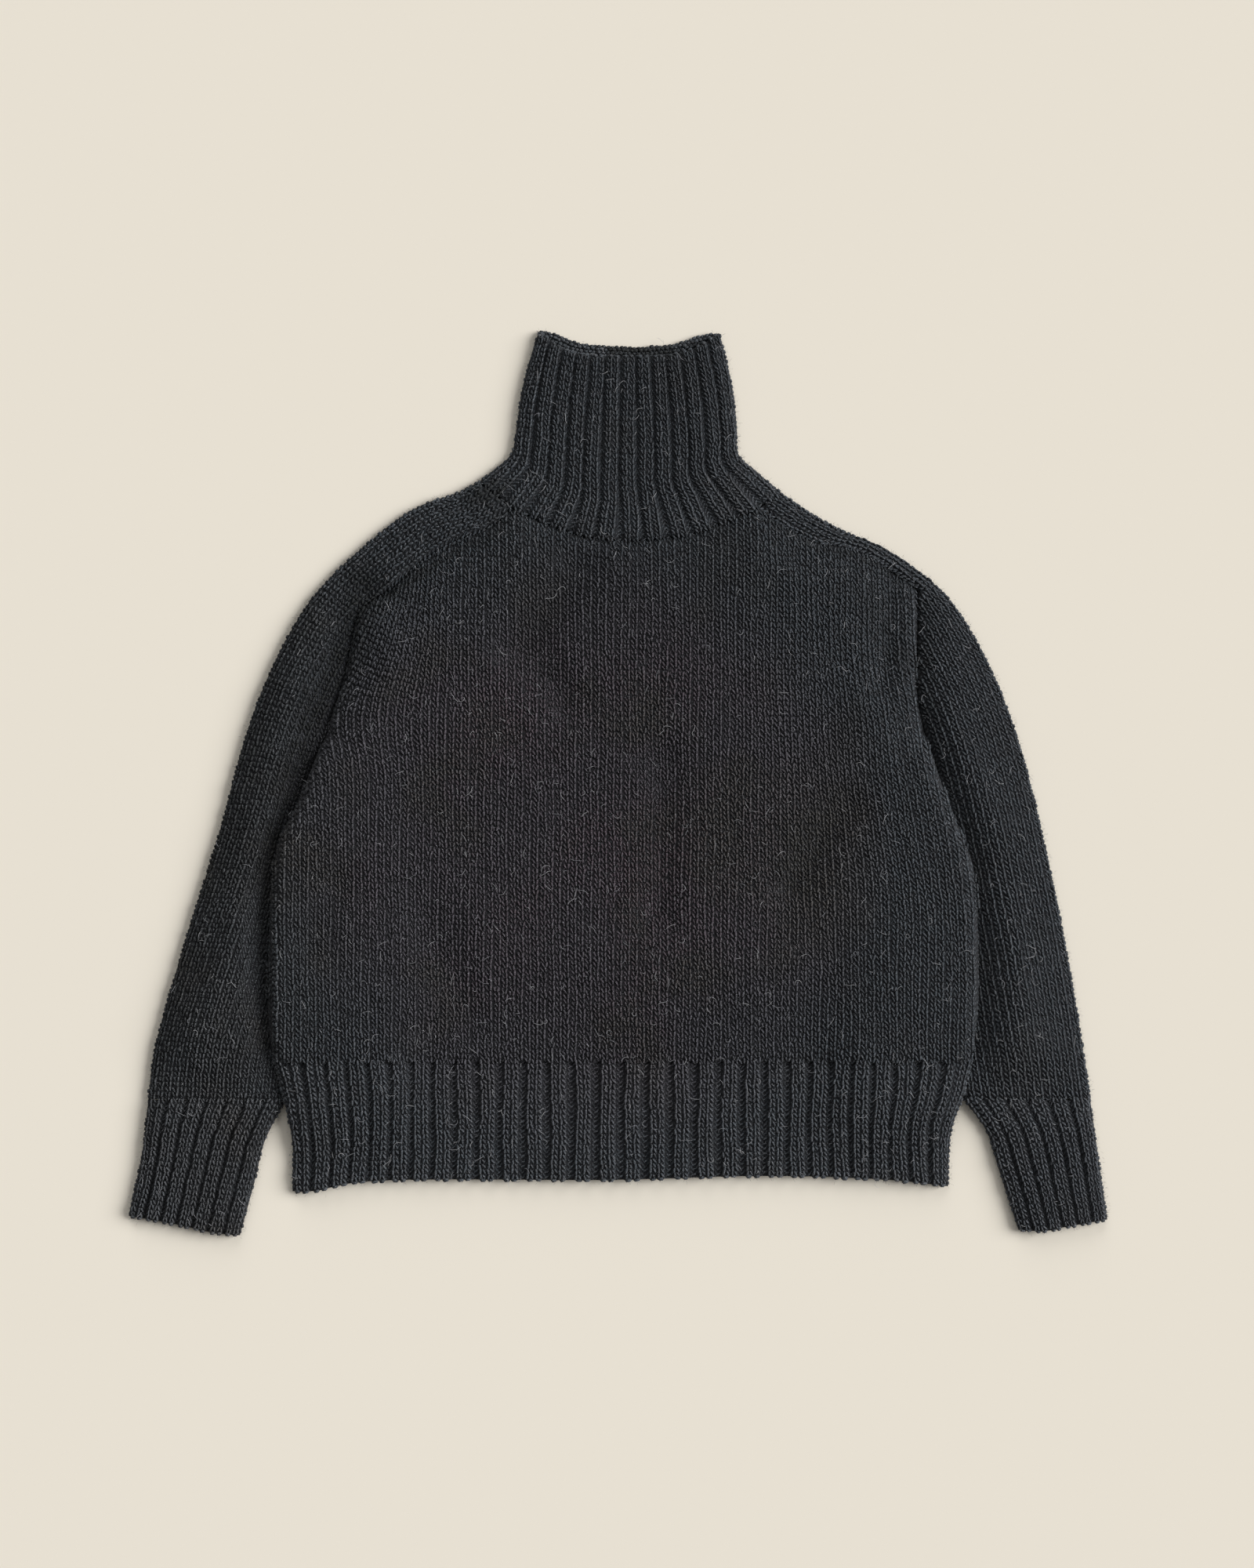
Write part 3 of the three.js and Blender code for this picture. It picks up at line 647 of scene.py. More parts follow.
# Outlines of the laid sweater, in millimetres: rows of x, y
bodySide = {
    "left": [(-280.6, -225), (-285, -190), (-284.5, -127), (-281.3, -69.4), (-273.6, -38.7),
             (-260.2, -11.8), (-246.1, 23.4), (-239.6, 42)],
    "right": [(287, -225), (292, -182), (292.2, -127), (289, -72), (276.8, -35.5), (262.7, 1), (250, 42)],
}
armhole = {
    "left": [(-239.6, 42), (-225, 86.1), (-217.9, 118.1), (-211.5, 142.4), (-188.5, 158.4)],
    "right": [(250, 42), (244.5, 70), (243.5, 100), (244.2, 129), (244.2, 160.3)],
}
saddleFront = {
    "left": [(-188.5, 158.4), (-152, 187.8), (-122.6, 202.6), (-103.4, 211.5), (-87.4, 225)],
    "right": [(114.9, 226.2), (136.6, 210.2), (161.6, 198.1), (193, 192.3), (244.2, 160.3)],
}
saddleBack = {
    "left": [(-188.5, 158.4), (-152, 185), (-124, 201), (-96, 219)],
    "right": [(112, 210), (140, 190), (190, 172), (244.2, 160.3)],
}
neckFront = [(-87.4, 225), (-49.6, 209), (-26.6, 201.9), (6.7, 198.7), (54.1, 203.2), (87.4, 214.1),
             (114.9, 226.2)]
neckBack = [(-96, 219), (-50, 226), (8, 228), (62, 224), (112, 210)]
neckEnds = (0.32, 0.7, 1.0)  # shares of the top edge at which the neck starts and ends

side = {key: Line(points) for key, points in bodySide.items()}
hole = {key: Line(points) for key, points in armhole.items()}
topFront = joined([Line(saddleFront["left"]), Line(neckFront), Line(saddleFront["right"])], neckEnds)
topBack = joined([Line(saddleBack["left"]), Line(neckBack), Line(saddleBack["right"])], neckEnds)
shares = np.linspace(0, 1, 200)

body = {
    "columns": 110, "lowRows": 46, "highRows": 34, "hem": -225,
    "split": -45,   # the front's stitches are two pieces, below and above this height
    "walesAside": 52, "rowCount": 112, "firstRow": 1.4,
    "sway": ((0.28, 37, 1.9), (0.5, 21, 0.35)),   # of each wale: how far, over what run, from where
    # how far in the wales lean beside the armholes, over what width and between which heights
    "lean": {"left": (52, 110, 30, 200), "right": (36, 150, -120, 120)},
    # how far they bow out at the underarm, at which height and over what reach
    "bulge": {"left": 13, "right": 4}, "underarm": 60, "bowReach": 34,
    "inland": 42,                        # the middle stands as high as the sides from here inwards
    "domeFrom": -225, "domeFull": -140, "domePressed": 0.6,    # and how it climbs there from the hem
    # a swell beside the sides: its height, where it starts and is full, and where it ends above and below
    "sideSwell": 3.2, "swellFrom": 150, "swellFull": 230, "swellTop": {"left": 110, "right": 190},
    "swellFade": 90, "swellFoot": -160, "edgeShare": 0.12,
    # the roll at each border: its width and how deep it goes
    "rolls": {"sideLeft": (10, 1.0), "sideRight": (12, 1.0), "hem": (9, 0.12), "left": (9, 1.0),
              "right": (12, 1.0), "top": (12, 0.65)},
}
frontOutline = np.vstack([side["left"].dense[::-1], side["right"].dense, hole["right"].dense,
                          topFront(shares)[::-1], hole["left"].dense[::-1]])
hemSeam = np.array([bodySide["left"][0], bodySide["right"][0]]) * mm
bodyBorders = [(line, *body["rolls"][key]) for key, line in (
    ("sideLeft", side["left"].dense), ("sideRight", side["right"].dense), ("hem", hemSeam),
    ("left", hole["left"].dense), ("right", hole["right"].dense), ("top", topFront(shares)))]


def bodyPlan(top, fineness):
    columns, lowRows, highRows = (int(body[key] * fineness) for key in ("columns", "lowRows", "highRows"))
    rows = np.linspace(body["hem"] + 0.25, cloth["top"], lowRows) * mm
    across = 0.5 - 0.5 * np.cos(np.linspace(0, math.pi, columns))
    across = 0.6 * np.linspace(0, 1, columns) + 0.4 * across
    left, right = side["left"].atLevel(rows), side["right"].atLevel(rows)
    lower = np.stack([left[:, None] * (1 - across) + right[:, None] * across,
                      np.repeat(rows[:, None], columns, 1)], -1)
    underarm = Line([(lower[-1, 0] / mm).tolist(), (lower[-1, -1] / mm).tolist()])
    u, v = np.meshgrid(across, np.linspace(0, 1, highRows + 1)[1:])
    upper = patchBetween(underarm, top, hole["left"], hole["right"])(u, v)
    return np.concatenate([lower, upper])


def frontHeight(points):  # the top of the front, over its whole outline
    return frontBase(points) + frontWall(points)


def bodyShare(points):  # how far the front stands up from its borders
    share = np.ones(points.shape[:-1])
    for line, width, depth in bodyBorders:
        share = share * (1 - depth * (1 - sloped(distanceTo(points, line), width)))
    return share


def frontBase(points):
    x, y = inMillimetres(points)
    inland = np.ones(points.shape[:-1])
    for line in (hole["left"].dense, hole["right"].dense, topFront(shares)):
        inland = inland * smoothstep(distanceTo(points, line), 0, body["inland"] * mm)
    dome = (bodyLift - lift(points)) * inland * smoothstep(y, body["domeFrom"], body["domeFull"])
    dome = dome * (1 - body["domePressed"] + body["domePressed"] * unpressed(points))
    top = np.where(x > 0, body["swellTop"]["right"], body["swellTop"]["left"])
    beside = smoothstep(np.abs(x - cloth["middle"]), body["swellFrom"], body["swellFull"])
    swell = body["sideSwell"] * mm * beside * (1 - smoothstep(y, top - body["swellFade"], top))
    swell = swell * smoothstep(y, body["hem"], body["swellFoot"])
    return lift(points) + dome + wall + slit / 5 + (loft(points) + swell) * bodyShare(points)


def frontWall(points):
    return wall * (body["edgeShare"] + (1 - body["edgeShare"]) * bodyShare(points))


def bodyPiece(name, top, isFront):
    plan = bodyPlan(top, 1.0 if isFront else 0.5)
    edges = [plan[0], plan[-1], plan[:, 0], plan[:, -1]]
    edge = np.min([distanceTo(plan, line) for line in edges], axis=0)
    base = frontBase(plan) if isFront else lift(plan) + wall
    reach = frontWall(plan) if isFront else -wall * sewnEdge(edge)
    outer, inner = raised(plan, base + reach), raised(plan, base)
    piece = onBody(wallObject(name, outer, inner, knitUV(plan), False))
    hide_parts("front" if isFront else "back")
    return piece


def waleDrift(x, y):  # sideways drift of a wale beside the armholes and at the underarm
    drift = np.zeros_like(x)
    for key, sign in (("left", 1), ("right", -1)):
        edgeX = bodySide[key][-1][0]
        lean, reach, start, end = body["lean"][key]
        near = np.clip(1 - np.abs(x - edgeX) / reach, 0, 1) ** 1.4
        near = np.where((x - edgeX) * sign < 0, 1.0, near)
        bow = body["bulge"][key] * np.exp(-((y - body["underarm"]) / body["bowReach"]) ** 2)
        drift += sign * near * (lean * smoothstep(y, start, end) - bow)
    return drift


def frontKnit():
    # Wales by rows over more than the front, each row and wale a little uneven, cut to the outline
    wale, row = knit["wale"], knit["row"]
    k, r = np.meshgrid(np.arange(-body["walesAside"], body["walesAside"] + 1), np.arange(0, body["rowCount"]))
    x0 = cloth["middle"] + (k + 0.5) * wale
    y = body["hem"] + body["firstRow"] + r * row + 0.8 * np.sin(x0 / 60)
    y = y + 1.3 * np.sin(k * 2.4 + 1.1 * np.sin(k * 0.9))  # no two wales start level
    x = x0 + waleDrift(x0, y) + sum(size * np.sin(y / run + k * turn) for size, run, turn in body["sway"])
    points = np.stack([x, y], -1).reshape(-1, 2) * mm
    drift = waleDrift(x0, y + row) - waleDrift(x0, y)
    step = np.stack([drift, np.full(x.shape, row)], -1).reshape(-1, 2) * mm
    edge = distanceTo(points, np.vstack([frontOutline, frontOutline[:1]]))
    keep = isInside(points, frontOutline) & (edge > 0.9 * mm)
    return layOn(frontHeight, points[keep], step[keep])


def layOn(height, points, step):  # sets stitches on a height field
    probe = 1.5 * mm
    slopeX = (height(points + (probe, 0)) - height(points - (probe, 0))) / (2 * probe)
    slopeY = (height(points + (0, probe)) - height(points - (0, probe))) / (2 * probe)
    slopes = np.clip(np.stack([slopeX, slopeY], -1), -1.2, 1.2)
    normal = np.concatenate([-slopes, np.ones((len(points), 1))], -1)
    along = np.concatenate([step, np.sum(step * slopes, -1, keepdims=True)], -1)
    size = sized(len(points), np.sqrt(1 + slopes[:, 0] ** 2), np.sqrt(1 + slopes[:, 1] ** 2))
    return raised(points, height(points)), along, normal, size


def edgeWale(line, height, outwardSide, inset):
    # A wale along an edge, half turned over it
    at, ahead = placesAlong(line, knit["row"], 0.5)
    square, level = unit(np.stack([ahead[:, 1], -ahead[:, 0]], -1) * outwardSide), np.zeros(len(at))
    at = at - square * inset * mm
    return raised(at, height(at)), raised(ahead, level), raised(square * 0.8, level + 0.6)


def makeBody():
    front, back = bodyPiece("front_wall", topFront, True), bodyPiece("back_wall", topBack, False)
    points, along, normal, size = frontKnit()
    low = points[:, 1] < body["split"] * mm
    lower = knitted("front_knit_lower", knitLegs, points[low], along[low], normal[low], size[low], 11)
    upper = knitted("front_knit_upper", knitLegs, points[~low], along[~low], normal[~low], size[~low], 12)
    edges = []
    for key, outward in (("left", -1), ("right", 1)):
        args = edgeWale(side[key], lambda spot: lift(spot) + wall + 0.2 * mm, outward, 1.1)
        edges.append(knitted(f"side_{key}", edgeBump, *args, sized(len(args[0]), 0.9, 0.8, 0.6), 13))
    edge = joinedPiece("front_knit_sides", edges)
    extras = [onBody(item) for item in (lower, upper, edge)]
    area = 0.5 * abs(np.sum(frontOutline[:, 0] * np.roll(frontOutline[:, 1], -1)
                            - np.roll(frontOutline[:, 0], -1) * frontOutline[:, 1]))


makeBody()
print("front and back ready")

# Sleeves with their saddle straps
sleeves = {
    "outer": {
        "left": [(-383.7, -255.5), (-378.6, -216.6), (-357.4, -139.8), (-325.4, -37.4), (-304.3, 39.4),
                 (-285.1, 90.6), (-257.6, 141.8), (-237.1, 167.4), (-209.6, 193), (-177.6, 218.6),
                 (-153.3, 231.4), (-134.1, 237.1), (-114.9, 246.7)],
        "right": [(384.4, -255.5), (378.6, -216.6), (365.8, -139.8), (344.6, -37.4), (324.8, 39.4),
                  (305, 90.6), (276.8, 141.8), (253.1, 167.4), (215.4, 193), (185.9, 205.8),
                  (161, 218.6), (134.7, 236.5)],
    },
    "hidden": {
        "left": [(-272.3, -257), (-250, -195), (-230, -115), (-222, -55), (-232, -22), (-254.4, 3)],
        "right": [(281, -255), (259, -195), (243, -115), (238, -55), (246, -22), (261.9, 3)],
    },
    "foldShares": {"left": (0.46, 0.8), "right": (0.46, 0.74)},  # where the armhole starts and ends
    "rampFrom": -4, "rampTo": 36, "foldTo": {"left": 46, "right": 60},
    "valley": (-40, 60, 3, 30, 6, 12),   # on the left: heights it widens between, its sides, by how much
    "strapFlat": (110, 200, 0.75),       # the strap gets flatter between these heights, by this share
    "cuffRise": (-256, -190),            # the sleeve swells up from the cuff between these
    "swell": 9, "roll": 11, "rows": 110, "cells": 14, "wales": 22, "guide": 30, "hiddenReach": 7,
    "area": {"left": 0.090, "right": 0.084},
}


def sleeveLines(key):
    # Section lines from the cuff to the collar: upper edge, fold and lower edge
    armStart, armEnd = sleeves["foldShares"][key]
    outer, hidden = Line(sleeves["outer"][key]), Line(sleeves["hidden"][key])
    sideTop = side[key].atLevel(cloth["topFull"] * mm)
    seam = Line([(sideTop / mm, cloth["topFull"]), *armhole[key]])
    turn = 1 if key == "left" else -1  # from the armhole to the neck on both sides
    strap = [Line(points[::turn]) for points in (saddleFront[key], saddleBack[key])]
    ends = (armStart, armEnd, 1.0)
    upper = joined([hidden, seam, strap[0]], ends)
    lower = joined([hidden, seam, strap[1]], ends)
    return upper, outer, lower


def sleeveUpper(key, s, d):
    # A point of the upper layer at share s of the fold's length, at distance d from the fold
    upper, outer, _ = sleeveLines(key)
    edge, fold = upper(s), outer(s)
    width = span(edge - fold)
    at = fold + (edge - fold) * (d / width)[..., None]
    inset = width - d
    isHidden = s < sleeves["foldShares"][key][0]
    level = np.clip(at[..., 1], (body["hem"] + 1) * mm, cloth["top"] * mm)
    beside = np.where(isHidden, np.abs(at[..., 0]) - np.abs(side[key].atLevel(level)), inset)
    if key == "left":  # a broad valley beside the body, in its shade
        lowEnd, highEnd, near, far, nearWider, farWider = sleeves["valley"]
        high = smoothstep(at[..., 1], lowEnd * mm, highEnd * mm)
        ramp = smoothstep(beside, (near + nearWider * high) * mm, (far + farWider * high) * mm)
    else:
        ramp = smoothstep(beside, sleeves["rampFrom"] * mm, sleeves["rampTo"] * mm)
    armEnd = sleeves["foldShares"][key][1]
    onStrap = smoothstep(s, armEnd - 0.03, armEnd + 0.03)
    ramp = ramp * (1 - onStrap) + rounded(inset, 10) * onStrap
    ramp = ramp * smoothstep(d, -6 * mm, sleeves["foldTo"][key] * mm)
    middle = sleeveHeight / 2
    strapFrom, strapFull, flatter = sleeves["strapFlat"]
    strap = 1 - flatter * smoothstep(at[..., 1], strapFrom * mm, strapFull * mm)
    rise = smoothstep(at[..., 1], *(level * mm for level in sleeves["cuffRise"]))
    swell = (loft(at) * (0.4 + 0.6 * np.minimum(2 * rise, 1)) + sleeves["swell"] * mm * rise) * strap
    top = middle + slit / 2 + swell * ramp + wall * sewnEdge(inset)
    return raised(at, middle + (top - middle) * rounded(d, sleeves["roll"])), beside, width


def sleeveWall(key):
    upper, outer, lower = sleeveLines(key)
    s = np.linspace(0, 1, sleeves["rows"])
    cells = np.concatenate([np.linspace(0, 0.12, 5), np.linspace(0.12, 1, sleeves["cells"])[1:]])
    layers = []
    for line, isUpper in ((upper, True), (lower, False)):
        edge, fold = line(s), outer(s)
        width = span(edge - fold)
        share = cells[::-1] if isUpper else cells[1:]
        d = width[:, None] * share
        if isUpper:
            d = np.maximum(d, 0)
            outside = sleeveUpper(key, np.repeat(s[:, None], len(share), 1), d)[0]
            roof = outside[..., 2] - wall * sewnEdge(width[:, None] - d)
        else:
            at = fold[:, None] + (edge - fold)[:, None] * share[:, None]
            outside = raised(at, sleeveHeight / 2 * (1 - rounded(d)))
            roof = np.full(d.shape, wall)
        innerD = np.clip(d, cloth["foldInset"] * mm + d / 4, width[:, None])
        flat = fold[:, None] + (edge - fold)[:, None] * (innerD / width[:, None])[..., None]
        least = sleeveHeight / 2 + (slit / 2 if isUpper else -slit / 2)
        height = np.where(d > 0, np.maximum(roof, least) if isUpper else least, sleeveHeight / 2)
        along = np.repeat((s * outer.length)[:, None], len(share), 1)
        layers.append((outside, raised(flat, height), knitUV(np.stack([d if isUpper else -d, along], -1))))
    outside, inside, uv = (np.concatenate([layers[0][k], layers[1][k]], 1) for k in range(3))
    piece = onBody(wallObject(f"sleeve_{key}_wall", outside, inside, uv, False))
    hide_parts(f"sleeve_{key}")
    return piece


def sleeveKnit(key):
    # Rows are spaced along a line a little in from the fold, and the wales run beside the fold
    row, fine = knit["row"] * mm, np.linspace(0, 1, 1200)
    guide = sleeveUpper(key, fine, np.full(fine.shape, sleeves["guide"] * mm))[0]
    reach = np.concatenate([[0], np.cumsum(np.linalg.norm(np.diff(guide, axis=0), axis=-1))])
    rows = np.interp(np.arange(0.1, reach[-1] / row) * row, reach, fine)
    s, wale = (part.ravel() for part in np.meshgrid(rows, np.arange(0, sleeves["wales"]), indexing="ij"))
    d = (wale + 0.55) * (knit["wale"] * mm)
    point, beside, width = sleeveUpper(key, s, d)
    keep = (d < width - 1.2 * mm) & (beside > -sleeves["hiddenReach"] * mm)
    s, d, point = s[keep], d[keep], point[keep]
    step = 0.5 * (rows[1] - rows[0])
    ahead = sleeveUpper(key, np.clip(s + step, 0, 1), d)[0] - sleeveUpper(key, np.clip(s - step, 0, 1), d)[0]
    inward = sleeveUpper(key, s, d + mm)[0] - sleeveUpper(key, s, np.maximum(d - mm, 0))[0]
    normal = np.cross(ahead, inward)
    normal *= np.sign(normal[:, 2:3])
    length = np.clip(np.linalg.norm(ahead, axis=-1) / (2 * step) * (rows[1] - rows[0]) / row, 0.55, 1.25)
    return point, ahead, normal, sized(len(point), 1.0, length)


def makeSleeves():
    for number, key in enumerate(("left", "right")):
        piece = sleeveWall(key)
        point, ahead, normal, size = sleeveKnit(key)
        main = knitted(f"sleeve_{key}_main", knitLegs, point, ahead, normal, size, 21 + number)
        outer = Line(sleeves["outer"][key])
        level = lambda at: np.full(len(at), sleeveHeight / 2 + 0.8 * mm)
        outward = -1 if key == "left" else 1
        args = edgeWale(outer, level, outward, 2.0)
        edge = knitted(f"sleeve_{key}_edge", knitLegs, *args, sized(len(args[0])), 23 + number)
        args = edgeWale(outer, level, outward, 0.8)
        bumps = knitted(f"sleeve_{key}_bumps", edgeBump, *args, sized(len(args[0]), 1, 0.8, 0.8), 25 + number)
        rope = seamRow(f"saddle_{key}_seam", Line(saddleFront[key]), 3.7, 6.3, 24, edgeBump, 27 + number)
        knitPiece = onBody(joinedPiece(f"sleeve_{key}_knit", [main, edge, bumps, rope]))


makeSleeves()
print("sleeves ready")

# Ribbed collar, hem and cuffs
ribbing = {
    "rise": 1.3, "sink": 1.6, "shoulder": 1.2,   # relief in millimetres, and the slope beside a furrow
    "cells": 8, "roll": 13, "climb": 25,
    "barFrom": 2.9, "barFull": 5.2,              # a furrow this wide shows its purl bars
    "waleShare": 0.4, "widest": 6.5, "settle": 1.7, "settleOver": 7,   # the open end lies lower
    "sideInset": 0.004, "nudge": 0.01,           # shares of the width and height
}


class RibTube:  # a flattened ribbed tube, read by its shares across and up
    def __init__(self, upper, lower, form, ribs, liftAt):
        self.upper, self.lower, self.ribs, self.liftAt = upper, lower, ribs, liftAt
        self.puff, self.height = form["puff"] * mm, form["height"] * mm
        self.depth, self.settle = form["depth"], form["settle"]
        self.shares = np.linspace(0, 1, 1001)
        self.gathered = self.shares - form["gather"] * np.sin(2 * math.pi * self.shares) / (2 * math.pi)

    def acrossAt(self, rib):  # the ribs look narrower towards the sides
        return np.interp(np.asarray(rib) / self.ribs, self.shares, self.gathered)

    def ribAt(self, across):
        return np.interp(across, self.gathered, self.shares) * self.ribs

    def ribWidth(self, across, up):
        rib = self.ribAt(across)
        return (self.acrossAt(rib + 0.5) - self.acrossAt(rib - 0.5)) * self.width(up, self.upper)

    def waleWidth(self, across, up):
        return np.minimum(self.ribWidth(across, up) * ribbing["waleShare"], ribbing["widest"] * mm)

    def relief(self, across, up):  # two wales, and a furrow that takes the rest
        share = self.ribAt(across) % 1.0
        width = self.ribWidth(across, up)
        near = np.minimum(share, 1 - share) * width
        reach = width / 2 - self.waleWidth(across, up) + ribbing["shoulder"] * mm
        height = 1 - np.exp(-((near / reach) ** 2) * 1.4)
        return (ribbing["rise"] - (ribbing["rise"] + ribbing["sink"]) * (1 - height) * self.depth) * mm

    def width(self, up, plan):
        return span(plan(np.ones_like(up), up) - plan(np.zeros_like(up), up))

    def top(self, across, up, relief=True):
        at = self.upper(across, up)
        inset = np.minimum(across, 1 - across) * self.width(up, self.upper)
        middle = sleeveHeight / 2
        ribs = self.relief(across, up) if relief else 0.0
        climb = smoothstep(inset, 0, ribbing["climb"] * mm)
        high = middle + slit / 2 + wall + ribs + (self.puff + waver(at)) * climb
        seamEnd, openEnd = (1 - rounded(reach * self.height, ribbing["settleOver"]) for reach in (up, 1 - up))
        high = high - (self.settle * seamEnd + ribbing["settle"] * openEnd) * mm
        return raised(at, self.liftAt(at) + middle + (high - middle) * rounded(inset, ribbing["roll"]))

    def ahead(self, across, up, aside=0.0, along=ribbing["nudge"]):  # the run of the cloth, without its ribs
        return (self.top(np.minimum(across + aside, 1), np.minimum(up + along, 1), False)
                - self.top(np.maximum(across - aside, 0), np.maximum(up - along, 0), False))

    def wallPiece(self, name, node, rows):
        across = self.acrossAt(np.linspace(0, self.ribs, self.ribs * ribbing["cells"] + 1))
        under = np.linspace(1, 0, self.ribs * 4 + 1)[1:-1]
        up = np.concatenate([[0, 0.012], np.linspace(0.04, 0.96, rows), [0.988, 1.0]])
        (u, v), (lowU, lowV) = np.meshgrid(across, up), np.meshgrid(under, up)
        lowAt = self.lower(lowU, lowV)
        lowInset = np.minimum(lowU, 1 - lowU) * self.width(lowV, self.lower)
        low = raised(lowAt, self.liftAt(lowAt) + sleeveHeight / 2 * (1 - rounded(lowInset)))
        outside = np.concatenate([self.top(u, v), low], 1)
        inside = np.concatenate([self.inner(u, v, True), self.inner(lowU, lowV, False)], 1)
        wales = np.concatenate([self.ribAt(across), (2 - under) * self.ribs]) * 3
        uv = np.stack(np.meshgrid(wales, up * self.height / (knit["row"] * mm)), -1)
        piece = onBody(wallObject(name, outside, inside, uv, True))
        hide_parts(node)
        return piece

    def inner(self, across, up, isUpper):
        plan = self.upper if isUpper else self.lower
        width = self.width(up, plan)
        inset = np.minimum(across, 1 - across) * width
        inner = np.minimum(np.maximum(inset, cloth["foldInset"] * mm + inset / 4), width / 2) / width
        at = plan(np.where(across < 0.5, inner, 1 - inner), up)
        stand = slit / 2 + self.puff * smoothstep(inset, 0, ribbing["climb"] * mm) if isUpper else -slit / 2
        return raised(at, self.liftAt(at) + sleeveHeight / 2 + np.where(inset > 0, stand, 0.0))

    def place(self, across, up):  # points and directions for stitches
        ahead = self.ahead(across, up, 0.0, 0.004)
        normal = np.cross(self.ahead(across, up, 0.004, 0.0), ahead)
        normal *= np.sign(normal[:, 2:3])
        return self.top(across, up), ahead, normal

    def knit(self, name, seed):
        rows = int(self.height / (knit["row"] * mm)) + 1
        up = (np.arange(rows) + 0.05) / (rows - 0.3)   # the first row lies over the seam
        pieces, rib = [], np.arange(self.ribs)
        for kind, offset in (("left", -0.5), ("right", 0.5), ("purl", 0.0)):
            middle = rib if kind == "purl" else rib + 0.5
            across, level = (part.ravel() for part in np.meshgrid(self.acrossAt(middle), up))
            wale = self.waleWidth(across, level)
            furrow = self.ribWidth(across, level) - 2 * wale
            sway = 0.035 * np.sin(level * 7 + across * 40) / self.ribs
            across = across + sway + offset * wale / self.width(level, self.upper)
            inside = (across > ribbing["sideInset"]) & (across < 1 - ribbing["sideInset"])
            if kind == "purl":
                inside &= furrow > ribbing["barFrom"] * mm
            across, level, wale, furrow = across[inside], level[inside], wale[inside], furrow[inside]
            point, ahead, normal = self.place(across, level)
            stitch, size = knitLegs, sized(len(point), wale / (knit["wale"] * mm))
            if kind == "purl":
                size = sized(len(point), np.clip(furrow / (ribbing["barFull"] * mm), 0.45, 1.15), 1.0, 0.8)
                stitch, point = purlLeg, point - (0, 0, 0.3 * mm)
            pieces.append(knitted(f"{name}_{kind}", stitch, point, ahead, normal, size, seed, ribYarn))
            seed += 1
        for sign in (-1, 1):  # a wale and a row of bumps along each side
            edge = np.full(rows, (sign + 1) / 2)
            at, ahead = self.top(edge, up, False), self.ahead(edge, up)
            square = unit(raised(np.stack([ahead[:, 1], -ahead[:, 0]], -1), np.zeros(rows)))
            square *= sign * np.sign(square[:, :1])
            normal, inland = square * 0.8 + (0, 0, 0.6), at - square * 2.1 * mm + (0, 0, 0.6 * mm)
            pieces.append(knitted(f"{name}_side{sign}", knitLegs, inland, ahead, normal,
                                  sized(rows, 0.8, 1, 0.8), seed, ribYarn))
            pieces.append(knitted(f"{name}_bumps{sign}", edgeBump, at - square * 0.8 * mm, ahead, normal,
                                  sized(rows, 1, 0.8, 0.8), seed + 1, ribYarn))
        return pieces

    def castOff(self, name, seed):  # the last stitch of each wale, rounded over the open edge
        up = np.ones(2 * self.ribs)
        middle = np.repeat(self.acrossAt(np.arange(self.ribs) + 0.5), 2)
        wale = self.waleWidth(middle, up)
        across = middle + np.tile([-0.5, 0.5], self.ribs) * wale / self.width(up, self.upper)
        across = np.clip(across, 0.008, 0.992)
        point, ahead = self.top(across, up), self.ahead(across, up, ribbing["nudge"], 0.0)
        away = unit((point - self.top(across, up - 0.05)) * (1, 1, 0))
        size = sized(len(up), 1.25, 0.92 * wale / (5.4 * mm))
        return [knitted(name, edgeBump, point - away * 0.3 * mm, ahead,
                        away * 0.5 + (0, 0, 0.87), size, seed, ribYarn),
                knitted(name + "_low", edgeBump, point - (0, 0, 1.9 * mm), ahead,
                        away * 0.7 + (0, 0, 0.7), size, seed + 1, ribYarn)]


collar = {
    "sides": {
        "left": [(-114.9, 246.7), (-102, 257), (-88, 269.8), (-83.5, 290), (-79, 321), (-70.7, 353),
                 (-65.2, 370)],
        "right": [(134.7, 236.5), (112, 256), (97.6, 269.8), (96.3, 290), (93.1, 321), (86.1, 353),
                  (82, 368.5)],
    },
    "frontRim": [(-65.2, 370), (-50, 358), (-30, 351), (6.7, 349), (42, 350), (66, 358), (82, 368.5)],
    "backRim": [(-65.2, 370), (-50, 367), (-32, 360), (20, 357), (48, 360), (66, 366), (82, 368.5)],
    "strapEnds": (0.11, 0.92, 1.0), "clearance": 0.008, "ribs": 13, "height": 150, "puff": 1.4,
    "gather": 0.0, "fade": 1.9, "depth": 0.75, "settle": 1.7,
    # rows of bars on the inner side of the back: distance from the rim, and height over the table
    "rimRows": ((0.2, 2.4), (2.7, 3.2), (5.6, 2.9), (8.4, 2.9)), "rimBars": 42,
}
hem = {
    "left": [(-280.6, -225), (-272, -257), (-266, -290), (-266, -331)],
    "right": [(287, -225), (280.6, -252), (271, -280), (268.5, -327)],
    "foot": [(-266, -331), (-249, -330.6), (-211, -323.2), (0, -321.3), (122, -318.2), (224, -321.6),
             (268.5, -327)],
    "ribs": 30, "height": 99, "puff": 1.6, "depth": 0.88, "settle": 0.2,
    "gather": 0.13, "splay": 0.045, "fade": 8,   # the ribs look narrower and splay out at the sides
}
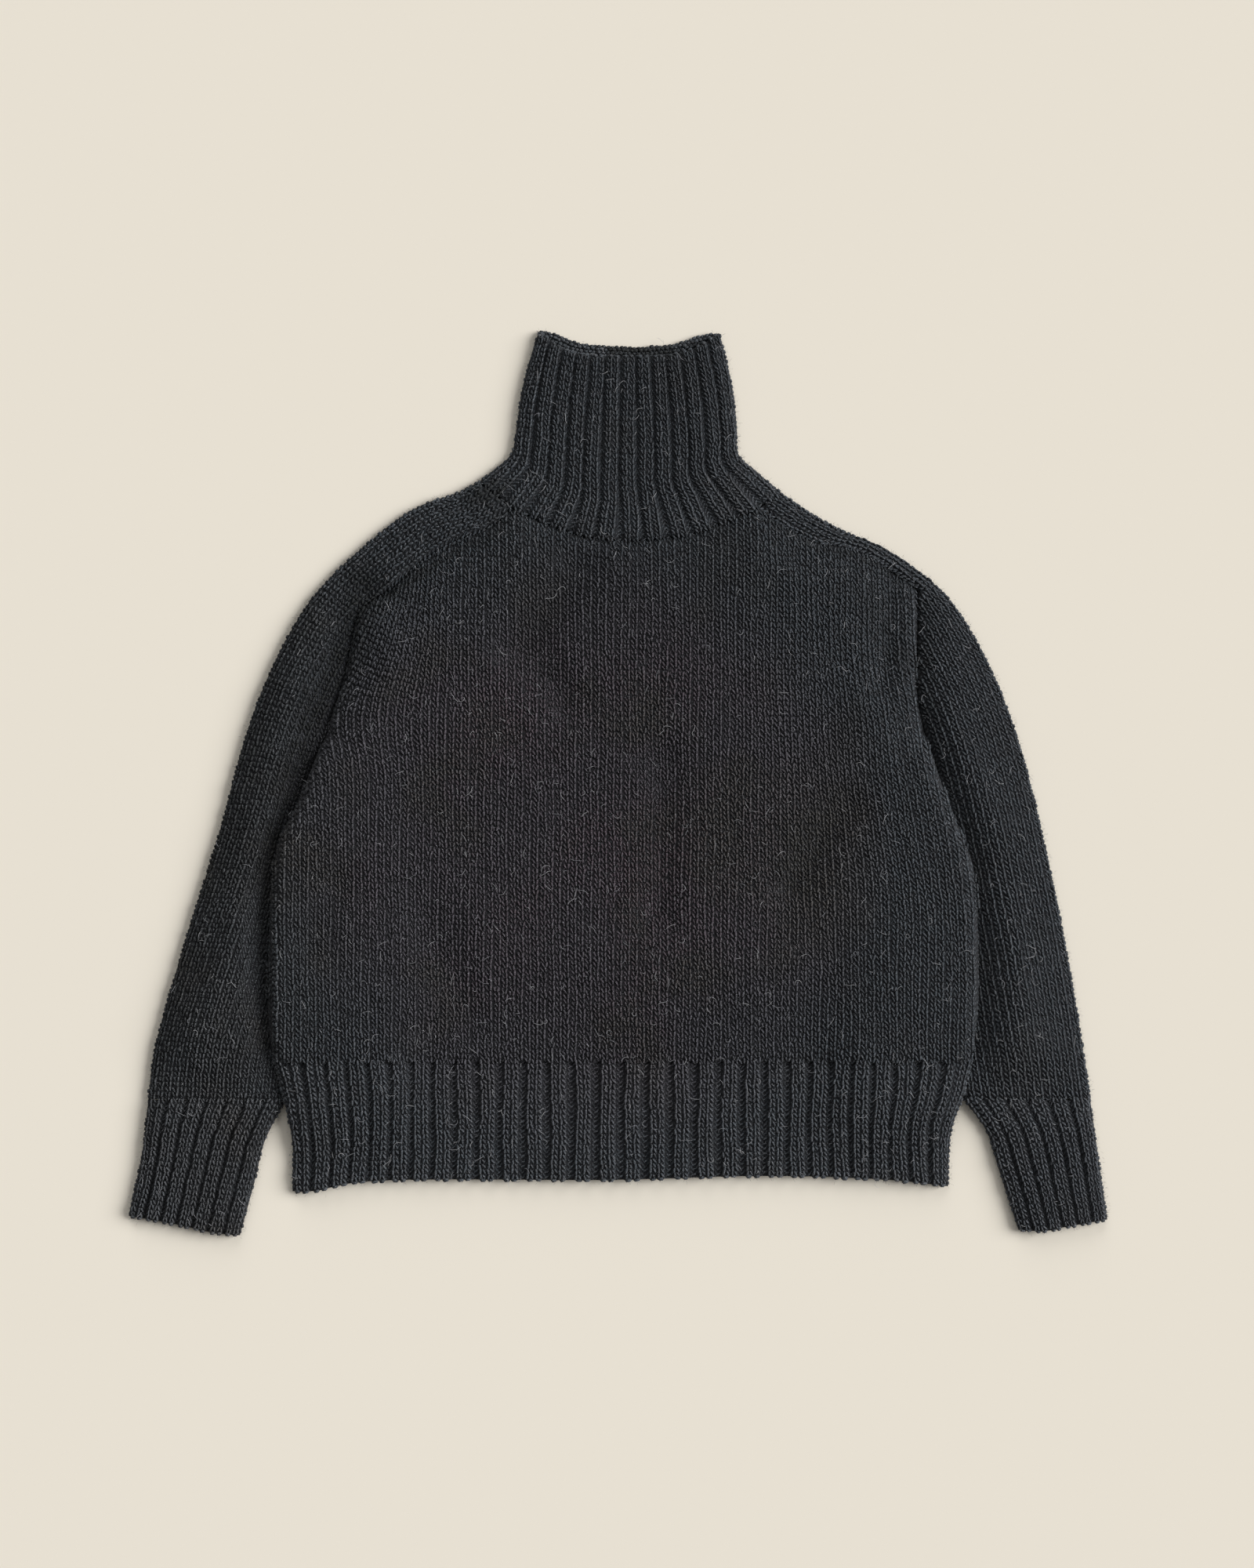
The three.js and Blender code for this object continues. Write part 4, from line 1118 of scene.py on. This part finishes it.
cuffs = {
    "left": {
        "start": [(-383.7, -257), (-272.3, -257.6)],
        "sides": ([(-383.7, -257), (-388.8, -301), (-399.7, -351)],
                  [(-272.3, -257.6), (-289, -290.9), (-296.6, -321.6), (-309, -367)]),
        "end": [(-399.7, -351), (-362, -357.4), (-331, -364.5), (-309, -367)],
    },
    "right": {
        "start": [(281, -255.8), (384.5, -256.6)],
        "sides": ([(281, -255.8), (299.2, -280.6), (309.4, -311.4), (326, -362.5)],
                  [(384.5, -256.6), (390.7, -301), (398.4, -354)]),
        "end": [(326, -362.5), (347, -363.2), (363, -360), (398.4, -354)],
    },
    "ribs": {"left": 7, "right": 6}, "height": 104, "puff": 1.2, "gather": 0.0, "depth": 0.95,
    "settle": 0.6,
}


def notLifted(at):  # the collar and cuffs lie on the table itself
    return np.zeros(at.shape[:-1])


def backRim(tube):
    # The inner side of the collar's back shows over the front rim, in short purl bars
    front, count = Line(collar["frontRim"]).dense, collar["rimBars"]
    pieces = []
    for row, (inset, height) in enumerate(collar["rimRows"]):
        across = (np.arange(count) + 0.5 + 0.5 * (row % 2)) / (count + 0.5)
        up = np.full(count, 1 - inset / collar["height"])
        at = tube.lower(across, up)
        ahead = tube.lower(np.minimum(across + 0.01, 1), up) - tube.lower(np.maximum(across - 0.01, 0), up)
        shows = at[:, 1] > np.interp(at[:, 0], front[:, 0], front[:, 1]) - 1.5 * mm
        at, ahead = at[shows], ahead[shows]
        level = np.zeros(len(at))
        away = unit(np.stack([-ahead[:, 1], ahead[:, 0]], -1)) * (0.5 if row == 0 else 0.0)
        point, size = raised(at, level + height * mm), sized(len(at), 1.1, 0.78, 0.8)
        pieces.append(knitted(f"back_rim_{row}", edgeBump, point, raised(ahead, level),
                              raised(away, level + 1), size, 38 + row, ribYarn))
    return pieces


def makeCollar():
    left, right = Line(collar["sides"]["left"]), Line(collar["sides"]["right"])

    def layer(neck, rim):
        ends = [Line(points) for points in ([collar["sides"]["left"][0], neck[0]], neck,
                                            [neck[-1], collar["sides"]["right"][0]])]
        whole = patchBetween(joined(ends, collar["strapEnds"]), Line(rim), left, right, collar["fade"])
        return lambda across, up: whole(across, collar["clearance"] + (1 - collar["clearance"]) * up)

    tube = RibTube(layer(neckFront, collar["frontRim"]), layer(neckBack, collar["backRim"]),
                   collar, collar["ribs"], notLifted)
    piece = tube.wallPiece("collar_wall", "collar", 36)
    piece.data.materials[0] = collarWall  # its painted shade between stitches is less dark
    pieces = tube.knit("collar", 31) + tube.castOff("collar_rim", 36) + backRim(tube)
    pieces.append(seamRow("neck_seam", Line(neckFront), knit["wale"] * 0.97, 5.6, 90, knitLegs, 35))
    knitPiece = onBody(joinedPiece("collar_knit", pieces))


def makeHem():
    (topLeft, level), (topRight, _) = hem["left"][0], hem["right"][0]
    (footLeft, _), (footRight, _) = hem["foot"][0], hem["foot"][-1]

    def top(share):  # the ribs hang straight down, and those at the sides splay out
        straight = footLeft + (footRight - footLeft) * share
        splay = (topLeft - footLeft) * np.exp(-share / hem["splay"])
        splay = splay + (topRight - footRight) * np.exp((share - 1) / hem["splay"])
        return np.stack([straight + splay, np.full_like(straight, level)], -1) * mm

    plan = patchBetween(top, Line(hem["foot"]), Line(hem["left"]), Line(hem["right"]), hem["fade"])
    tube = RibTube(plan, plan, hem, hem["ribs"], lift)
    piece = tube.wallPiece("hem_wall", "hem_rib", 22)
    pieces = tube.knit("hem", 41) + tube.castOff("hem_foot", 46)
    knitPiece = onBody(joinedPiece("hem_knit", pieces))


def makeCuffs():
    for number, key in enumerate(("left", "right")):
        lines = cuffs[key]
        plan = patchBetween(*(Line(points) for points in (lines["start"], lines["end"], *lines["sides"])))
        tube = RibTube(plan, plan, cuffs, cuffs["ribs"][key], notLifted)
        piece = tube.wallPiece(f"cuff_{key}_wall", f"cuff_{key}", 30)
        seed = 51 + 10 * number
        pieces = tube.knit(f"cuff_{key}", seed) + tube.castOff(f"cuff_{key}_end", seed + 6)
        knitPiece = onBody(joinedPiece(f"cuff_{key}_knit", pieces))


makeCollar()
makeHem()
makeCuffs()
print("collar, hem and cuffs ready")

for helper in (knitLegs, purlLeg, edgeBump):
    bpy.data.objects.remove(helper)

# Stray hairs on the wool, and the short fuzz that softens it, in millimetres
fuzz = {
    "hairs": {"count": 780, "length": (3, 12), "girth": 0.13, "points": 9, "curl": 0.42, "rise": 0.0},
    "flecks": {"count": 13500, "length": (1.0, 3.4), "girth": 0.085, "points": 3, "curl": 0.5, "rise": 0.4},
    "edge": {"count": 7000, "length": (0.8, 3.6), "girth": 0.075, "points": 3, "curl": 0.35, "rise": 1.2},
    "seed": 77, "clearance": 1.1, "arch": 0.9,   # how high the long hairs lie over the stitches
    "foldBare": 1.4, "flatFrom": 0.8, "edgeTo": 0.75,   # little fuzz where shade is painted in creases; level and turned stitches
}


def fibres(name, lines, girth, material):  # thin three-sided tubes along rows of points
    count, steps = lines.shape[:2]
    ahead = unit(np.gradient(lines, axis=1))
    aside = unit(np.cross(ahead, (0.05, 0.02, 1.0)))
    above = np.cross(aside, ahead)
    turns = np.radians([90, 210, 330])[:, None, None, None]
    taper = (girth * mm * (1 - 0.75 * np.linspace(-1, 1, steps) ** 4))[None, :, None]
    rings = lines + taper * (np.cos(turns) * aside + np.sin(turns) * above)
    points = np.moveaxis(rings, 0, 2).reshape(-1, 3)
    first = ((np.arange(count)[:, None] * steps + np.arange(steps - 1)) * 3).ravel()
    faces = [np.stack([first + k, first + n, first + 3 + n, first + 3 + k], -1)
             for k, n in ((0, 1), (1, 2), (2, 0))]
    starts = np.arange(count) * steps * 3
    ends = starts + 3 * (steps - 1)
    caps = np.concatenate([np.stack([starts, starts + 2, starts + 1], -1),
                           np.stack([ends, ends + 1, ends + 2], -1)])
    mesh = bpy.data.meshes.new(name)
    mesh.from_pydata(points.tolist(), [], np.concatenate(faces).tolist() + caps.tolist())
    mesh.polygons.foreach_set("use_smooth", np.ones(len(mesh.polygons), bool))
    mesh.materials.append(material)
    return onBody(addObject(name, mesh))


def strayLines(kind, anchors, rng):
    # Curled lines that start on the stitches, and rise off them by a share of the way they face
    form = fuzz[kind]
    count, steps, curl = form["count"], form["points"], form["curl"]
    pick = anchors[rng.integers(0, len(anchors), count)]
    start, facing = pick[:, :3], pick[:, 3:6]
    stride = rng.uniform(*form["length"], count) / (steps - 1) * mm
    heading = rng.uniform(0, 2 * math.pi, count)
    bend = rng.normal(0, curl, count)
    at, lines = start + facing * 0.8 * mm + rng.normal(0, 1.2 * mm, start.shape) * (1, 1, 0), []
    for step in range(steps):
        lines.append(at)
        heading = heading + (bend + rng.normal(0, curl, count)) * stride / mm * 0.5
        run = np.stack([np.cos(heading), np.sin(heading), np.zeros_like(heading)], -1)
        run = run - facing * np.sum(run * facing, -1, keepdims=True) + facing * form["rise"]
        at = at + unit(run) * stride[:, None]
    return np.stack(lines, 1)


def makeFuzz():
    anchors = np.concatenate(laid)
    rng = np.random.default_rng(fuzz["seed"])
    clear = rng.random(len(anchors)) > fuzz["foldBare"] * anchors[:, 6]
    flat = anchors[(anchors[:, 5] > fuzz["flatFrom"]) & clear]
    edge = anchors[anchors[:, 5] < fuzz["edgeTo"]]
    tree = mathutils.kdtree.KDTree(len(anchors))
    for number, anchor in enumerate(anchors):
        tree.insert((anchor[0], anchor[1], 0), number)
    tree.balance()
    hairLines = strayLines("hairs", flat, rng)
    for line in hairLines:
        for step, point in enumerate(line):
            near = tree.find_n((point[0], point[1], 0), 4)
            line[step, 2] = max(anchors[found[1], 2] for found in near) + fuzz["clearance"] * mm
        line[1:-1, 2] = (line[:-2, 2] + line[1:-1, 2] + line[2:, 2]) / 3
        line[:, 2] += np.sin(np.linspace(0, math.pi, len(line))) * fuzz["arch"] * mm
    fibres("stray_hairs", hairLines, fuzz["hairs"]["girth"], hair)
    fibres("short_fuzz", strayLines("flecks", flat, rng), fuzz["flecks"]["girth"], fleck)
    fibres("edge_fuzz", strayLines("edge", edge, rng), fuzz["edge"]["girth"], dimFleck)


makeFuzz()
print("hairs and fuzz ready")
